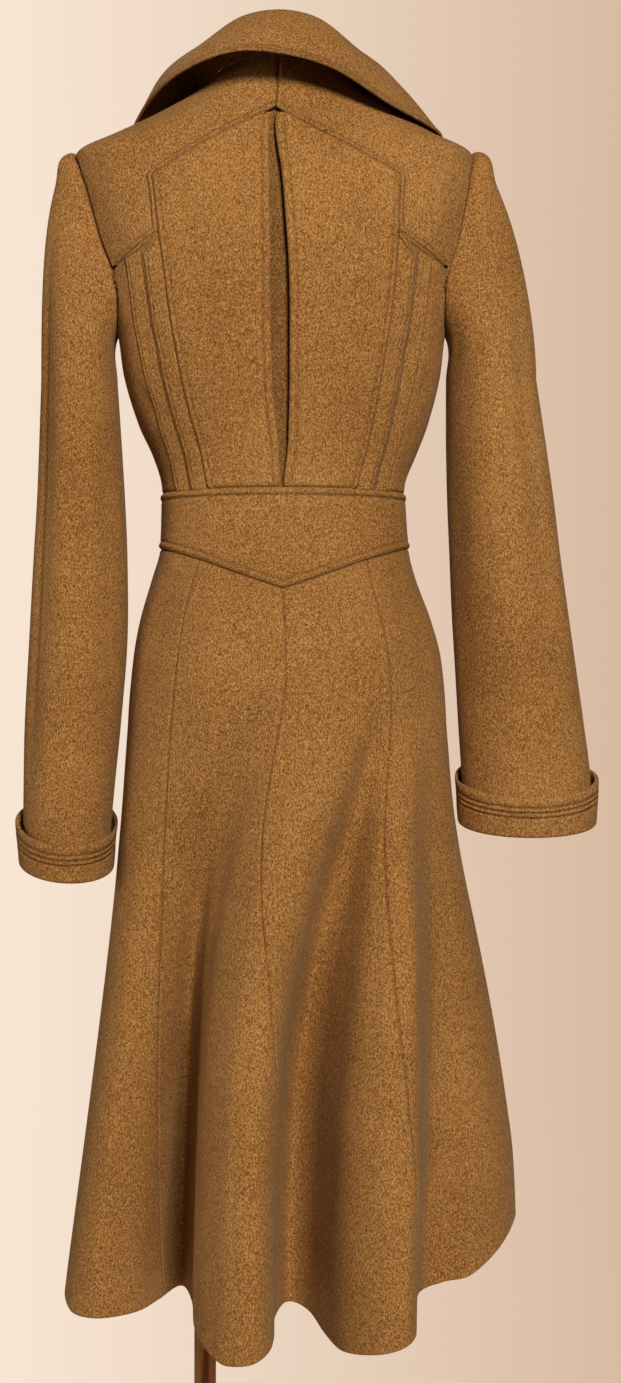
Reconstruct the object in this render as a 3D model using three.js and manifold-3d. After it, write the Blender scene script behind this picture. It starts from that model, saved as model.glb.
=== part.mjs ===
// A fitted wool coat with a fluted skirt and its own belt, filled out on a limbless display form.
// Millimetres, +Z up. The coat faces -Y, +X is the wearer's left, and the origin is the middle
// of the base plate's underside.
import * as THREE from "three";
import { mergeVertices } from "three/addons/utils/BufferGeometryUtils.js";
import Module from "manifold-3d";

const wasm = await Module();
wasm.setup();

// Cloth and seams
const cloth = 2.4;
const collarCloth = 2.8;
const bandCloth = 3;
const seamInset = 0.16;
const goreInset = 0.3;
const layGap = 0.4;
const tuckStep = 1.7;
const lapGap = 1;
const bodiceLap = 14;
const skirtLapTurn = 6;

// Levels along the body
const bandTop = 1007;
const bandSide = 958;
const bandPoint = 919;
const bandKnee = { reach: 66, z: 943 };
const fluteTop = 800;
const breakPoint = 1125;
const yokePeak = 1338;
const neckSide = 1372;
const napeTop = 1386;

// Seam angles round the body: 0 at the centre back, 90 at the wearer's left, 180 at the centre front
const sideSeam = 90;
const sideFront = 109;

// Display form
const formGap = 4;
const shoulderGap = 0.8;
const formFoot = 860;
const formNeckTop = 1412;
const poleRadius = 10;
const poleX = 70;
const poleY = -48;
const baseRadius = 170;
const baseThick = 12;

// Half widths and depths of the body at each level, and the power of its rounded section
const BODY = [
  { z: 260, left: 137, right: 200, back: 116, front: 106, power: 2 },
  { z: 393, left: 136, right: 196, back: 116, front: 104, power: 2 },
  { z: 462, left: 136, right: 179, back: 116, front: 103, power: 2 },
  { z: 642, left: 136, right: 154, back: 116, front: 100, power: 2 },
  { z: 710, left: 137, right: 149, back: 116, front: 98, power: 2 },
  { z: 800, left: 137, right: 149, back: 116, front: 96, power: 2 },
  { z: 860, left: 132, right: 144, back: 115, front: 95, power: 2 },
  { z: 894, left: 126, right: 135, back: 110, front: 93, power: 2 },
  { z: 932, left: 115, right: 121, back: 97, front: 90, power: 2 },
  { z: 956, left: 108, right: 115, back: 88, front: 88, power: 2 },
  { z: 985, left: 106, right: 112, back: 83, front: 87, power: 2 },
  { z: 1016, left: 107, right: 112, back: 83, front: 89, power: 2 },
  { z: 1042, left: 115, right: 122, back: 86, front: 97, power: 2 },
  { z: 1068, left: 127, right: 132, back: 91, front: 110, power: 2.05 },
  { z: 1110, left: 140, right: 143, back: 98, front: 123, power: 2.15 },
  { z: 1150, left: 146, right: 148, back: 100, front: 117, power: 2.25 },
  { z: 1199, left: 157, right: 158, back: 101, front: 101, power: 2.3 },
  { z: 1235, left: 167, right: 165, back: 99, front: 87, power: 2.3 },
  { z: 1279, left: 177, right: 171, back: 90, front: 70, power: 2.3 },
  { z: 1300, left: 182, right: 172, back: 83, front: 63, power: 2.25 },
  { z: 1314, left: 182, right: 170, back: 79, front: 60, power: 2.2 },
  { z: 1326, left: 155, right: 144, back: 77, front: 58, power: 2.2 },
  { z: 1338, left: 128, right: 121, back: 75, front: 56, power: 2.15 },
  { z: 1352, left: 100, right: 96, back: 72, front: 54, power: 2.1 },
  { z: 1364, left: 79, right: 76, back: 69, front: 51, power: 2.05 },
  { z: 1374, left: 67, right: 65, back: 66, front: 49, power: 2 },
  { z: 1386, left: 61, right: 59, back: 62, front: 47, power: 2 },
  { z: 1430, left: 58, right: 56, back: 60, front: 46, power: 2 },
];

// The hem, a row for each ridge, valley or flank of the flutes
const HEM = [
  { turn: -180, x: 0, y: -176, z: 285 },
  { turn: -170, x: -32, y: -178, z: 287 },
  { turn: -160, x: -62, y: -162, z: 292 },
  { turn: -150, x: -84, y: -142, z: 298 },
  { turn: -140, x: -110, y: -160, z: 302 },
  { turn: -130, x: -145, y: -170, z: 308 },
  { turn: -120, x: -170, y: -148, z: 322 },
  { turn: -110, x: -189, y: -120, z: 335 },
  { turn: -100, x: -214, y: -100, z: 345 },
  { turn: -90, x: -217, y: -62, z: 343 },
  { turn: -80, x: -200, y: -20, z: 325 },
  { turn: -70, x: -172, y: 2, z: 305 },
  { turn: -60, x: -147, y: 0, z: 298 },
  { turn: -52, x: -126, y: 10, z: 292 },
  { turn: -46, x: -119, y: 50, z: 286 },
  { turn: -41, x: -118, y: 92, z: 281 },
  { turn: -37, x: -116, y: 134, z: 285 },
  { turn: -33, x: -109, y: 152, z: 283 },
  { turn: -28, x: -95, y: 151, z: 277 },
  { turn: -23, x: -80, y: 144, z: 273 },
  { turn: -18, x: -62, y: 129, z: 270 },
  { turn: -14, x: -50, y: 109, z: 269 },
  { turn: -10, x: -38, y: 70, z: 272 },
  { turn: -6, x: -24, y: 30, z: 281 },
  { turn: -2, x: -6, y: 18, z: 285 },
  { turn: 1, x: 4, y: 58, z: 281 },
  { turn: 4, x: 4, y: 108, z: 277 },
  { turn: 8, x: 8, y: 146, z: 275 },
  { turn: 13, x: 22, y: 166, z: 271 },
  { turn: 18, x: 44, y: 158, z: 268 },
  { turn: 21, x: 55, y: 142, z: 270 },
  { turn: 24, x: 66, y: 118, z: 275 },
  { turn: 28, x: 74, y: 84, z: 281 },
  { turn: 32, x: 79, y: 20, z: 285 },
  { turn: 36, x: 91, y: -34, z: 286 },
  { turn: 41, x: 108, y: 4, z: 284 },
  { turn: 46, x: 121, y: 36, z: 283 },
  { turn: 52, x: 138, y: 57, z: 283 },
  { turn: 60, x: 161, y: 70, z: 284 },
  { turn: 70, x: 183, y: 50, z: 284 },
  { turn: 80, x: 194, y: 6, z: 288 },
  { turn: 90, x: 193, y: -32, z: 291 },
  { turn: 100, x: 185, y: -64, z: 292 },
  { turn: 110, x: 168, y: -94, z: 295 },
  { turn: 120, x: 157, y: -130, z: 293 },
  { turn: 130, x: 138, y: -162, z: 288 },
  { turn: 140, x: 106, y: -162, z: 288 },
  { turn: 150, x: 80, y: -142, z: 292 },
  { turn: 160, x: 60, y: -162, z: 288 },
  { turn: 170, x: 32, y: -178, z: 285 },
  { turn: 180, x: 0, y: -176, z: 285 },
];

// How far each vertical seam of the back stands out from the middle of the back
const CENTRE_SEAM = [
  { z: 1007, reach: 65 },
  { z: 1050, reach: 75 },
  { z: 1079, reach: 82 },
  { z: 1120, reach: 90 },
  { z: 1165, reach: 97 },
  { z: 1229, reach: 104 },
  { z: 1279, reach: 108 },
];
const TUCK_EDGE = [
  { z: 1007, reach: 93 },
  { z: 1033, reach: 99 },
  { z: 1055, reach: 106 },
  { z: 1085, reach: 114 },
  { z: 1115, reach: 121 },
  { z: 1147, reach: 127 },
  { z: 1179, reach: 131 },
  { z: 1210, reach: 135 },
];
const PLEAT_EDGE = [
  { z: 1007, reach: 0.9 },
  { z: 1029, reach: 2.8 },
  { z: 1058, reach: 5.2 },
  { z: 1093, reach: 7.2 },
  { z: 1143, reach: 8.1 },
  { z: 1171, reach: 8.2 },
  { z: 1231, reach: 6.9 },
  { z: 1290, reach: 4.5 },
  { z: 1338, reach: 1.2 },
];

// The yoke's lower edge: down from the peak to the corner, down the step, then out to the armhole
const YOKE_EDGE = [
  { z: 1201.3, reach: 149 },
  { z: 1229, reach: 104 },
  { z: 1254, reach: 106 },
  { z: 1279, reach: 108 },
  { z: 1306, reach: 62 },
  { z: 1334, reach: 8 },
  { z: 1338, reach: 1 },
];

// The armhole, a row for each 30 degrees round it from the shoulder tip over the back
const armholeMiddle = 1232;
const armholeHalf = 82;
const ARMHOLE = [
  { turn: 0, theta: 90 },
  { turn: 30, theta: 81 },
  { turn: 60, theta: 75.5 },
  { turn: 90, theta: 72 },
  { turn: 120, theta: 68 },
  { turn: 150, theta: 76 },
  { turn: 180, theta: 90 },
  { turn: 210, theta: 101 },
  { turn: 240, theta: 110 },
  { turn: 270, theta: 113 },
  { turn: 300, theta: 108 },
  { turn: 330, theta: 98 },
  { turn: 360, theta: 90 },
];

// The front neckline above the break point, and the lapel's outer edge
const NECKLINE = [
  { z: 1125, reach: 4 },
  { z: 1200, reach: 20 },
  { z: 1260, reach: 35 },
  { z: 1318, reach: 50 },
  { z: 1340, reach: 57 },
  { z: 1356, reach: 61 },
  { z: 1366, reach: 64 },
  { z: 1372, reach: 66 },
];
const LAPEL_EDGE = [
  { z: 1129, reach: 9 },
  { z: 1150, reach: 34 },
  { z: 1185, reach: 68 },
  { z: 1225, reach: 98 },
  { z: 1260, reach: 116 },
  { z: 1285, reach: 86 },
  { z: 1313, reach: 52 },
];

// Sleeve sections below the armhole: outermost and innermost reach, back and front
const capFoot = 1110;
const SLEEVES = {
  left: [
    { z: 640, outer: 231, inner: 154, back: 54, front: 62 },
    { z: 690, outer: 231, inner: 154, back: 54, front: 62 },
    { z: 740, outer: 231, inner: 150, back: 54, front: 62 },
    { z: 800, outer: 230, inner: 144, back: 54, front: 62 },
    { z: 876, outer: 226, inner: 138, back: 55, front: 62 },
    { z: 950, outer: 222, inner: 138, back: 55, front: 62 },
    { z: 1000, outer: 219, inner: 140, back: 55, front: 61 },
    { z: 1050, outer: 217, inner: 143, back: 55, front: 60 },
    { z: 1110, outer: 215, inner: 147, back: 55, front: 58 },
  ],
  right: [
    { z: 640, outer: 281, inner: 165, back: 46, front: 54 },
    { z: 750, outer: 279, inner: 163, back: 46, front: 54 },
    { z: 800, outer: 273, inner: 160, back: 47, front: 54 },
    { z: 850, outer: 266, inner: 157, back: 48, front: 54 },
    { z: 900, outer: 259, inner: 154, back: 49, front: 55 },
    { z: 950, outer: 252, inner: 152, back: 50, front: 56 },
    { z: 1000, outer: 246, inner: 150, back: 51, front: 56 },
    { z: 1050, outer: 239, inner: 149, back: 53, front: 57 },
    { z: 1110, outer: 230, inner: 149, back: 54, front: 57 },
  ],
};
const CUFFS = {
  left: { foot: 674, backDrop: 12, outerRise: 4, height: 40 },
  right: { foot: 712, backDrop: 11, outerRise: 0, height: 42 },
};

// Soft troughs and ridges along the sleeves: where they run, how deep and how wide they are
const SLEEVE_FOLDS = {
  left: [
    { turn: 40, depth: -4, width: 16, from: 1210, to: 720 },
    { turn: 78, depth: 3, width: 20, from: 1150, to: 840 },
    { turn: 135, depth: -3, width: 20, from: 1080, to: 760 },
    { turn: 250, depth: -4, width: 22, from: 1120, to: 740 },
    { turn: 310, depth: 3, width: 20, from: 1060, to: 800 },
  ],
  right: [
    { turn: 52, depth: -4, width: 18, from: 1230, to: 800 },
    { turn: 100, depth: 3, width: 20, from: 1120, to: 820 },
    { turn: 150, depth: -3, width: 20, from: 1060, to: 780 },
    { turn: 245, depth: -4, width: 22, from: 1140, to: 800 },
    { turn: 300, depth: 3, width: 24, from: 1080, to: 780 },
  ],
};

const radians = Math.PI / 180;
const lerp = THREE.MathUtils.lerp;
const vector = (x, y, z) => new THREE.Vector3(x, y, z);

// A smooth curve through one column of a table
function sample(table, key, at, by = "z") {
  const last = table.length - 1;
  let row = 0;
  while (row < last - 1 && at > table[row + 1][by]) row += 1;
  const [low, high] = [table[row], table[row + 1]];
  const span = high[by] - low[by];
  const t = THREE.MathUtils.clamp((at - low[by]) / span, 0, 1);
  const slope = (i) => {
    const [before, after] = [table[Math.max(0, i - 1)], table[Math.min(last, i + 1)]];
    return (after[key] - before[key]) / (after[by] - before[by]);
  };
  const [t2, t3] = [t * t, t * t * t];
  return (
    (2 * t3 - 3 * t2 + 1) * low[key] +
    (t3 - 2 * t2 + t) * span * slope(row) +
    (3 * t2 - 2 * t3) * high[key] +
    (t3 - t2) * span * slope(row + 1)
  );
}

// Straight lines through one column of a table, for an edge with corners
function corners(table, key, at, by = "z") {
  let row = 0;
  while (row < table.length - 2 && at > table[row + 1][by]) row += 1;
  const [low, high] = [table[row], table[row + 1]];
  const t = THREE.MathUtils.clamp((at - low[by]) / (high[by] - low[by]), 0, 1);
  return lerp(low[key], high[key], t);
}

const signedPower = (value, power) => Math.sign(value) * Math.abs(value) ** power;
const smooth = (t) => THREE.MathUtils.smoothstep(t, 0, 1);
const halfWidth = (z) => (sample(BODY, "left", z) + sample(BODY, "right", z)) / 2;
const middle = (z) => (sample(BODY, "left", z) - sample(BODY, "right", z)) / 2;

// The smooth body without flutes
function bodySection(theta, z) {
  const power = 2 / sample(BODY, "power", z);
  const [across, along] = [Math.sin(theta * radians), Math.cos(theta * radians)];
  const depth = sample(BODY, along > 0 ? "back" : "front", z);
  return vector(
    middle(z) + halfWidth(z) * signedPower(across, power),
    depth * signedPower(along, power),
    z,
  );
}

const wrapped = (theta) => THREE.MathUtils.euclideanModulo(theta + 180, 360) - 180;
const hemLevel = (theta) => sample(HEM, "z", wrapped(theta), "turn");

// How far the flutes lean towards the wearer's left as they go down
const LEAN = [
  { turn: -180, lean: 0 },
  { turn: -100, lean: 0 },
  { turn: -85, lean: 3 },
  { turn: -70, lean: 9 },
  { turn: -60, lean: 13 },
  { turn: -50, lean: 18 },
  { turn: -40, lean: 28 },
  { turn: -30, lean: 35 },
  { turn: -22, lean: 36 },
  { turn: -5, lean: 34 },
  { turn: 10, lean: 28 },
  { turn: 22, lean: 20 },
  { turn: 35, lean: 9 },
  { turn: 50, lean: 0 },
  { turn: 180, lean: 0 },
];

// The coat's outer surface: the body, running out into the flutes of the hem. The flutes of
// the back start higher and are sooner at their full depth than those of the sides and front
function garment(theta, z) {
  const point = bodySection(theta, z);
  const here = wrapped(theta);
  const nearBack = Math.exp(-((here / 48) ** 2));
  const top = fluteTop + 40 * nearBack;
  if (z >= top) return point;
  const down = Math.min(1.1, ((top - z) / (top - hemLevel(theta))) ** 1.25);
  const share = down < 1 ? 1 - (1 - down) ** (1 + nearBack) : down;
  const turn = here + sample(LEAN, "lean", here, "turn") * (1 - share);
  point.x = lerp(point.x, sample(HEM, "x", turn, "turn"), share);
  point.y = lerp(point.y, sample(HEM, "y", turn, "turn"), share);
  return point;
}

// A point of a surface moved out along its normal
function lifted(surface, u, v, lift) {
  const [du, dv] = [0.25, 0.5];
  const alongU = surface(u + du, v).sub(surface(u - du, v));
  const alongV = surface(u, v + dv).sub(surface(u, v - dv));
  return surface(u, v).addScaledVector(alongV.cross(alongU).normalize(), lift);
}
const onCoat = (theta, z, lift = 0) => lifted(garment, theta, z, lift);

// The angle round the body at which it stands out by this reach, on the back or on the front
const backAngle = (reach, z) =>
  Math.asin(Math.min(1, reach / halfWidth(z)) ** (sample(BODY, "power", z) / 2)) / radians;
const frontAngle = (reach, z) => 180 - backAngle(reach, z);

// A closed mesh from points and faces, turned so that its faces point out
function closedMesh(points, faces) {
  let volume = 0;
  for (const [a, b, c] of faces)
    volume += points[a].dot(points[b].clone().cross(points[c]));
  const outward = volume > 0 ? faces : faces.map(([a, b, c]) => [a, c, b]);
  const geometry = new THREE.BufferGeometry().setFromPoints(points);
  geometry.setIndex(outward.flat());
  return geometry;
}

// Triangles between the rows of a grid of points, closed round in either direction if asked.
// Rising tells which way each square is cut in two
function gridFaces(index, rows, columns, closeRows, closeColumns, rising = () => true) {
  const faces = [];
  for (let i = 0; i < (closeRows ? rows : rows - 1); i += 1)
    for (let j = 0; j < (closeColumns ? columns : columns - 1); j += 1) {
      const [i2, j2] = [(i + 1) % rows, (j + 1) % columns];
      const [a, b, c, d] = [index(i, j), index(i, j2), index(i2, j2), index(i2, j)];
      if (rising(i, j)) faces.push([a, b, c], [a, c, d]);
      else faces.push([a, b, d], [b, c, d]);
    }
  return faces;
}

// Moves the edge points of a grid a little inwards, so that neighbouring pieces stay apart
function drawIn(grid, partner, inset) {
  const [last, end] = [grid.length - 1, grid[0].length - 1];
  const moves = [];
  const move = (i, j, i2, j2, before, after) => {
    const across = grid[i2][j2].clone().sub(grid[i][j]).normalize();
    const along = after.clone().sub(before).normalize();
    const square = Math.sqrt(Math.max(0.15, 1 - across.dot(along) ** 2));
    moves.push([i, j, across.multiplyScalar(inset / square)]);
  };
  for (let j = 0; j <= end; j += 1) {
    const [before, after] = [Math.max(0, j - 1), Math.min(end, j + 1)];
    move(0, j, 1, j, grid[0][before], grid[0][after]);
    move(last, j, last - 1, j, grid[last][before], grid[last][after]);
  }
  for (let i = 0; i <= last; i += 1) {
    const [before, after] = [Math.max(0, i - 1), Math.min(last, i + 1)];
    move(i, 0, i, 1, grid[before][0], grid[after][0]);
    move(i, end, i, end - 1, grid[before][end], grid[after][end]);
  }
  for (const [i, j, step] of moves) {
    grid[i][j].add(step);
    partner[i][j].add(step);
  }
}

// A wall of cloth between an outer and an inner grid of points. Each square is cut along its
// shorter diagonal, so that the cuts run with the folds
function wall(outer, inner) {
  const [rows, columns] = [outer.length, outer[0].length];
  const points = [...outer.flat(), ...inner.flat()];
  const front = (i, j) => i * columns + j;
  const back = (i, j) => rows * columns + i * columns + j;
  const rising = (i, j) =>
    outer[i][j].distanceTo(outer[i + 1][j + 1]) <= outer[i][j + 1].distanceTo(outer[i + 1][j]);
  const faces = [
    ...gridFaces(front, rows, columns, false, false, rising),
    ...gridFaces(back, rows, columns, false, false, rising).map(([a, b, c]) => [a, c, b]),
  ];
  const edge = [];
  for (let j = 0; j < columns; j += 1) edge.push([0, j]);
  for (let i = 1; i < rows; i += 1) edge.push([i, columns - 1]);
  for (let j = columns - 2; j >= 0; j -= 1) edge.push([rows - 1, j]);
  for (let i = rows - 2; i > 0; i -= 1) edge.push([i, 0]);
  edge.forEach(([i, j], at) => {
    const [i2, j2] = edge[(at + 1) % edge.length];
    faces.push([front(i, j), back(i, j), back(i2, j2)], [front(i, j), back(i2, j2), front(i2, j2)]);
  });
  return closedMesh(points, faces);
}

// A cut piece of the coat: place gives its angle and level for each share across and up
function panel({ across, up, place, side = 1, lift = () => 0, thick = cloth, inset = seamInset }) {
  const outer = [];
  const inner = [];
  for (const t of up) {
    outer.push([]);
    inner.push([]);
    for (const s of across) {
      const [theta, z] = place(s, t);
      const out = lift(s, t, theta, z);
      outer.at(-1).push(onCoat(side * theta, z, out));
      inner.at(-1).push(onCoat(side * theta, z, out - thick));
    }
  }
  drawIn(outer, inner, inset);
  return wall(outer, inner);
}
const steps = (count) => Array.from({ length: count + 1 }, (_, i) => i / count);

// A ring of points turned into a body closed both round the ring and round its profile
function ringBody(rings) {
  const columns = rings[0].length;
  const index = (i, j) => i * columns + j;
  return closedMesh(rings.flat(), gridFaces(index, rings.length, columns, true, true));
}

// A stack of rings closed by a flat cap at each end
function cappedBody(rings) {
  const [rows, columns] = [rings.length, rings[0].length];
  const index = (i, j) => i * columns + (j % columns);
  const centre = (ring) =>
    ring.reduce((sum, p) => sum.add(p), vector(0, 0, 0)).divideScalar(columns);
  const points = [...rings.flat(), centre(rings[0]), centre(rings[rows - 1])];
  const faces = gridFaces(index, rows, columns, false, true);
  for (let j = 0; j < columns; j += 1) {
    faces.push([rows * columns, index(0, j + 1), index(0, j)]);
    faces.push([rows * columns + 1, index(rows - 1, j), index(rows - 1, j + 1)]);
  }
  return closedMesh(points, faces);
}

// Finishes
const wool = new THREE.MeshStandardMaterial({ color: 0x96693a, roughness: 0.95, metalness: 0 });
const formFabric = new THREE.MeshStandardMaterial({ color: 0xcdbf9f, roughness: 0.9, metalness: 0 });
const brass = new THREE.MeshStandardMaterial({ color: 0xa87a34, roughness: 0.3, metalness: 1 });
const darkMetal = new THREE.MeshStandardMaterial({ color: 0x3b2a20, roughness: 0.45, metalness: 0.8 });
const horn = new THREE.MeshStandardMaterial({ color: 0x4a2f1c, roughness: 0.35, metalness: 0 });

const coat = new THREE.Group();
const stand = new THREE.Group();
const add = (group, name, geometry, material) => {
  const mesh = new THREE.Mesh(geometry, material);
  mesh.name = name;
  group.add(mesh);
};
const SIDES = [
  { name: "left", side: 1 },
  { name: "right", side: -1 },
];

// Back: yoke, centre panels with the open pleat, and tucked side backs
const armholeLevel = (turn) => armholeMiddle + armholeHalf * Math.cos(turn * radians);
const armholeTurn = (z) =>
  Math.acos(THREE.MathUtils.clamp((z - armholeMiddle) / armholeHalf, -1, 1)) / radians;
const backArmhole = (z) => sample(ARMHOLE, "theta", armholeTurn(z), "turn");
const frontArmhole = (z) => sample(ARMHOLE, "theta", 360 - armholeTurn(z), "turn");
const armholeTop = armholeMiddle + armholeHalf;
const sideFrontTop = 1177;
const neckEdge = (z) => sideSeam * Math.sqrt(Math.max(0, (napeTop - z) / (napeTop - neckSide)));
const shoulderSide = (z) => {
  if (z > neckSide) return neckEdge(z);
  return z > armholeTop ? sideSeam : backArmhole(z);
};
const yokeLow = (z) => (z > yokePeak ? 0 : backAngle(corners(YOKE_EDGE, "reach", z), z));
const centreSeam = (z) =>
  z > YOKE_EDGE[3].z ? yokeLow(z) : backAngle(sample(CENTRE_SEAM, "reach", z), z);
const tuckEdge = (z) =>
  Math.min(
    backAngle(sample(TUCK_EDGE, "reach", z), z),
    z > YOKE_EDGE[0].z ? yokeLow(z) : sideSeam,
  );
const pleatEdge = (z) => backAngle(sample(PLEAT_EDGE, "reach", z), z);

const byLevel = (levels, from, to) => (s, t) => {
  const z = levels[Math.round(t * (levels.length - 1))];
  return [lerp(from(z), to(z), s), z];
};
const shares = (levels) => steps(levels.length - 1);

const yokeLevels = [
  1205, 1217, 1229, 1245, 1262, 1279, 1292, 1305, 1318, 1328, 1338, 1349, 1360, 1369, 1376, 1382, 1385.4,
];
const panelLevels = [
  1007, 1022, 1038, 1056, 1080, 1105, 1130, 1158, 1184, 1209, 1229, 1254, 1279, 1297, 1315, 1333,
];
const tuckLevels = [1007, 1022, 1038, 1056, 1080, 1105, 1130, 1158, 1184, 1209, 1218, 1227];

for (const { name, side } of SIDES) {
  add(coat, `yoke_${name}`, panel({
    side,
    across: steps(7),
    up: shares(yokeLevels),
    place: byLevel(yokeLevels, yokeLow, shoulderSide),
  }), wool);
  add(coat, `back_panel_${name}`, panel({
    side,
    across: [0, 0.12, 0.35, 0.6, 0.85, 1],
    up: shares(panelLevels),
    place: byLevel(panelLevels, pleatEdge, centreSeam),
    lift: (s) => tuckStep * s ** 3,
  }), wool);
  add(coat, `tuck_panel_${name}`, panel({
    side,
    across: [0, 0.2, 0.44, 0.48, 0.75, 1],
    up: shares(tuckLevels),
    place: byLevel(tuckLevels, centreSeam, tuckEdge),
    lift: (s) => tuckStep * (s < 0.46 ? s / 0.44 : (s - 0.48) / 0.52),
  }), wool);
}
add(coat, "pleat_underlay", panel({
  across: [-1, -0.5, 0, 0.5, 1],
  up: steps(10),
  place: (s, t) => {
    const z = lerp(bandTop, yokePeak - 4, t);
    return [s * backAngle(24, z), z];
  },
  lift: (s, t) => -cloth - layGap - tuckStep - 6 * Math.sin(Math.PI * t),
}), wool);

// Side panels: from the tucks to the side front seam, up to the underarm
const sideTurns = { start: 112, end: 229 };
const sideStep = 0.15;
const sideBackTop = 1209;
for (const { name, side } of SIDES)
  add(coat, `side_panel_${name}`, panel({
    side,
    across: [0, sideStep, 0.28, 0.42, 0.56, 0.7, 0.85, 1],
    up: tuckLevels.filter((z) => z <= sideBackTop).map((z) => (z - bandTop) / (sideBackTop - bandTop)),
    place: (s, t) => {
      const turn = lerp(sideTurns.start, sideTurns.end, Math.max(0, s - sideStep) / (1 - sideStep));
      const start = { theta: tuckEdge(sideBackTop), z: sideBackTop };
      const corner = { theta: sample(ARMHOLE, "theta", sideTurns.start, "turn") };
      corner.z = armholeLevel(sideTurns.start);
      const onStep = s < sideStep;
      const topTheta = onStep
        ? lerp(start.theta, corner.theta, s / sideStep)
        : sample(ARMHOLE, "theta", turn, "turn");
      const topLevel = onStep ? lerp(start.z, corner.z, s / sideStep) : armholeLevel(turn);
      const z = lerp(bandTop, topLevel, t);
      const ruled = (level) => lerp(tuckEdge(level), sideFront, s);
      return [ruled(z) + (topTheta - ruled(topLevel)) * t ** 2, z];
    },
  }), wool);

// Fronts, the right lapping over the left, and their lapels
const frontSide = (z) => {
  if (z > armholeTop) return sideSeam + 0.4;
  return z > sideFrontTop ? frontArmhole(z) : sideFront;
};
const neckline = (z) => frontAngle(sample(NECKLINE, "reach", z), z);
const underLap = (theta) => -(cloth + lapGap) * smooth((theta - 164) / 9);
const lapStart = 7 / 9;
function frontPlace(s, t) {
  const z = frontLevels[Math.round(t * (frontLevels.length - 1))];
  if (z > breakPoint) return [lerp(frontSide(z), neckline(z), s), z];
  const lap = backAngle(bodiceLap, z);
  if (s < lapStart) return [lerp(frontSide(z), 180 - lap, s / lapStart), z];
  return [180 - lap + (2 * lap * (s - lapStart)) / (1 - lapStart), z];
}
const frontLevels = [
  1007, 1022, 1040, 1060, 1082, 1105, 1124.9, 1140, 1158, 1177, 1200, 1224, 1248, 1270, 1290, 1304, 1318,
  1332, 1345, 1357, 1367,
];
const lapelLevels = [1133, 1150, 1168, 1187, 1206, 1225, 1243, 1260, 1272, 1285, 1299, 1312];
for (const { name, side } of SIDES) {
  const under = name === "left";
  add(coat, `front_${name}`, panel({
    side,
    across: steps(9),
    up: shares(frontLevels),
    place: frontPlace,
    lift: (s, t, theta, z) => (under ? underLap(theta) * smooth((1175 - z) / 30) : 0),
  }), wool);
  add(coat, `lapel_${name}`, panel({
    side,
    across: steps(4),
    up: shares(lapelLevels),
    place: byLevel(
      lapelLevels,
      (z) => neckline(z) - 0.3,
      (z) => frontAngle(corners(LAPEL_EDGE, "reach", z), z),
    ),
    lift: () => cloth + layGap,
  }), wool);
}

// Collar: the neck seam, the roll, the middle of the fall and the free edge at each station
const atNeck = (theta) => {
  const level = napeTop - (napeTop - neckSide) * (theta / sideSeam) ** 2;
  return onCoat(theta, level, -cloth).add(vector(0, 0, 2.9));
};
const onChest = (side, reach, z, lift) => onCoat(side * frontAngle(reach, z), z, lift);
const COLLAR = [
  [onChest(1, 49, 1321, 4.8), onChest(1, 52, 1320, 6.8), onChest(1, 82, 1306, 5.6), onChest(1, 113, 1291, 5)],
  [onChest(1, 56, 1341, 5), onChest(1, 61, 1343, 9.5), onChest(1, 92, 1327, 7.5), onChest(1, 123, 1309, 6)],
  [onChest(1, 60.5, 1358, 5), vector(69, -33, 1371), onChest(1, 98, 1350, 9), onChest(1, 130, 1328, 6.5)],
  [atNeck(89), vector(80, 4, 1395), vector(107, 6, 1380), vector(129, 2, 1346)],
  [atNeck(60), vector(59, 38, 1405), vector(74, 62, 1392), vector(90, 78, 1366)],
  [atNeck(30), vector(31, 63, 1419), vector(38, 90, 1403), vector(42, 108, 1377)],
  [atNeck(0), vector(-3, 70, 1423), vector(1, 96, 1404), vector(4, 114, 1375)],
  [atNeck(-30), vector(-33, 62, 1418), vector(-40, 88, 1397), vector(-45, 103, 1365)],
  [atNeck(-60), vector(-60, 38, 1402), vector(-80, 58, 1380), vector(-97, 66, 1343)],
  [atNeck(-89), vector(-82, 4, 1391), vector(-117, 6, 1362), vector(-145, 10, 1329)],
  [onChest(-1, 60.5, 1358, 6), vector(-70, -33, 1370), onChest(-1, 108, 1343, 9), onChest(-1, 146, 1320, 7)],
  [onChest(-1, 56, 1341, 5), onChest(-1, 61, 1343, 9.5), onChest(-1, 100, 1322, 8), onChest(-1, 136, 1300, 6)],
  [onChest(-1, 49, 1321, 4.8), onChest(-1, 52, 1320, 6.8), onChest(-1, 84, 1304, 5.6), onChest(-1, 119, 1285, 5)],
];
const collarSections = COLLAR.map((station) => new THREE.CatmullRomCurve3(station, false, "centripetal"));
function collarPoint(along, down) {
  const line = collarSections.map((section) => section.getPoint(THREE.MathUtils.clamp(down, 0, 1)));
  const curve = new THREE.CatmullRomCurve3(line, false, "centripetal");
  return curve.getPoint(THREE.MathUtils.clamp(along, 0, 1));
}
{
  const [alongSteps, downSteps] = [38, 7];
  const surface = (along, down) => collarPoint(along, down);
  const [outer, inner] = [[], []];
  for (const down of steps(downSteps)) {
    outer.push([]);
    inner.push([]);
    for (const along of steps(alongSteps)) {
      const e = 0.01;
      const [a1, a2] = [Math.max(0, along - e), Math.min(1, along + e)];
      const [d1, d2] = [Math.max(0, down - e), Math.min(1, down + e)];
      const tangent = surface(a2, down).sub(surface(a1, down));
      const fall = surface(along, d2).sub(surface(along, d1));
      const normal = fall.cross(tangent).normalize();
      const point = surface(along, down);
      outer.at(-1).push(point);
      inner.at(-1).push(point.clone().addScaledVector(normal, -collarCloth));
    }
  }
  add(coat, "collar", wall(outer, inner), wool);
}

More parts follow.
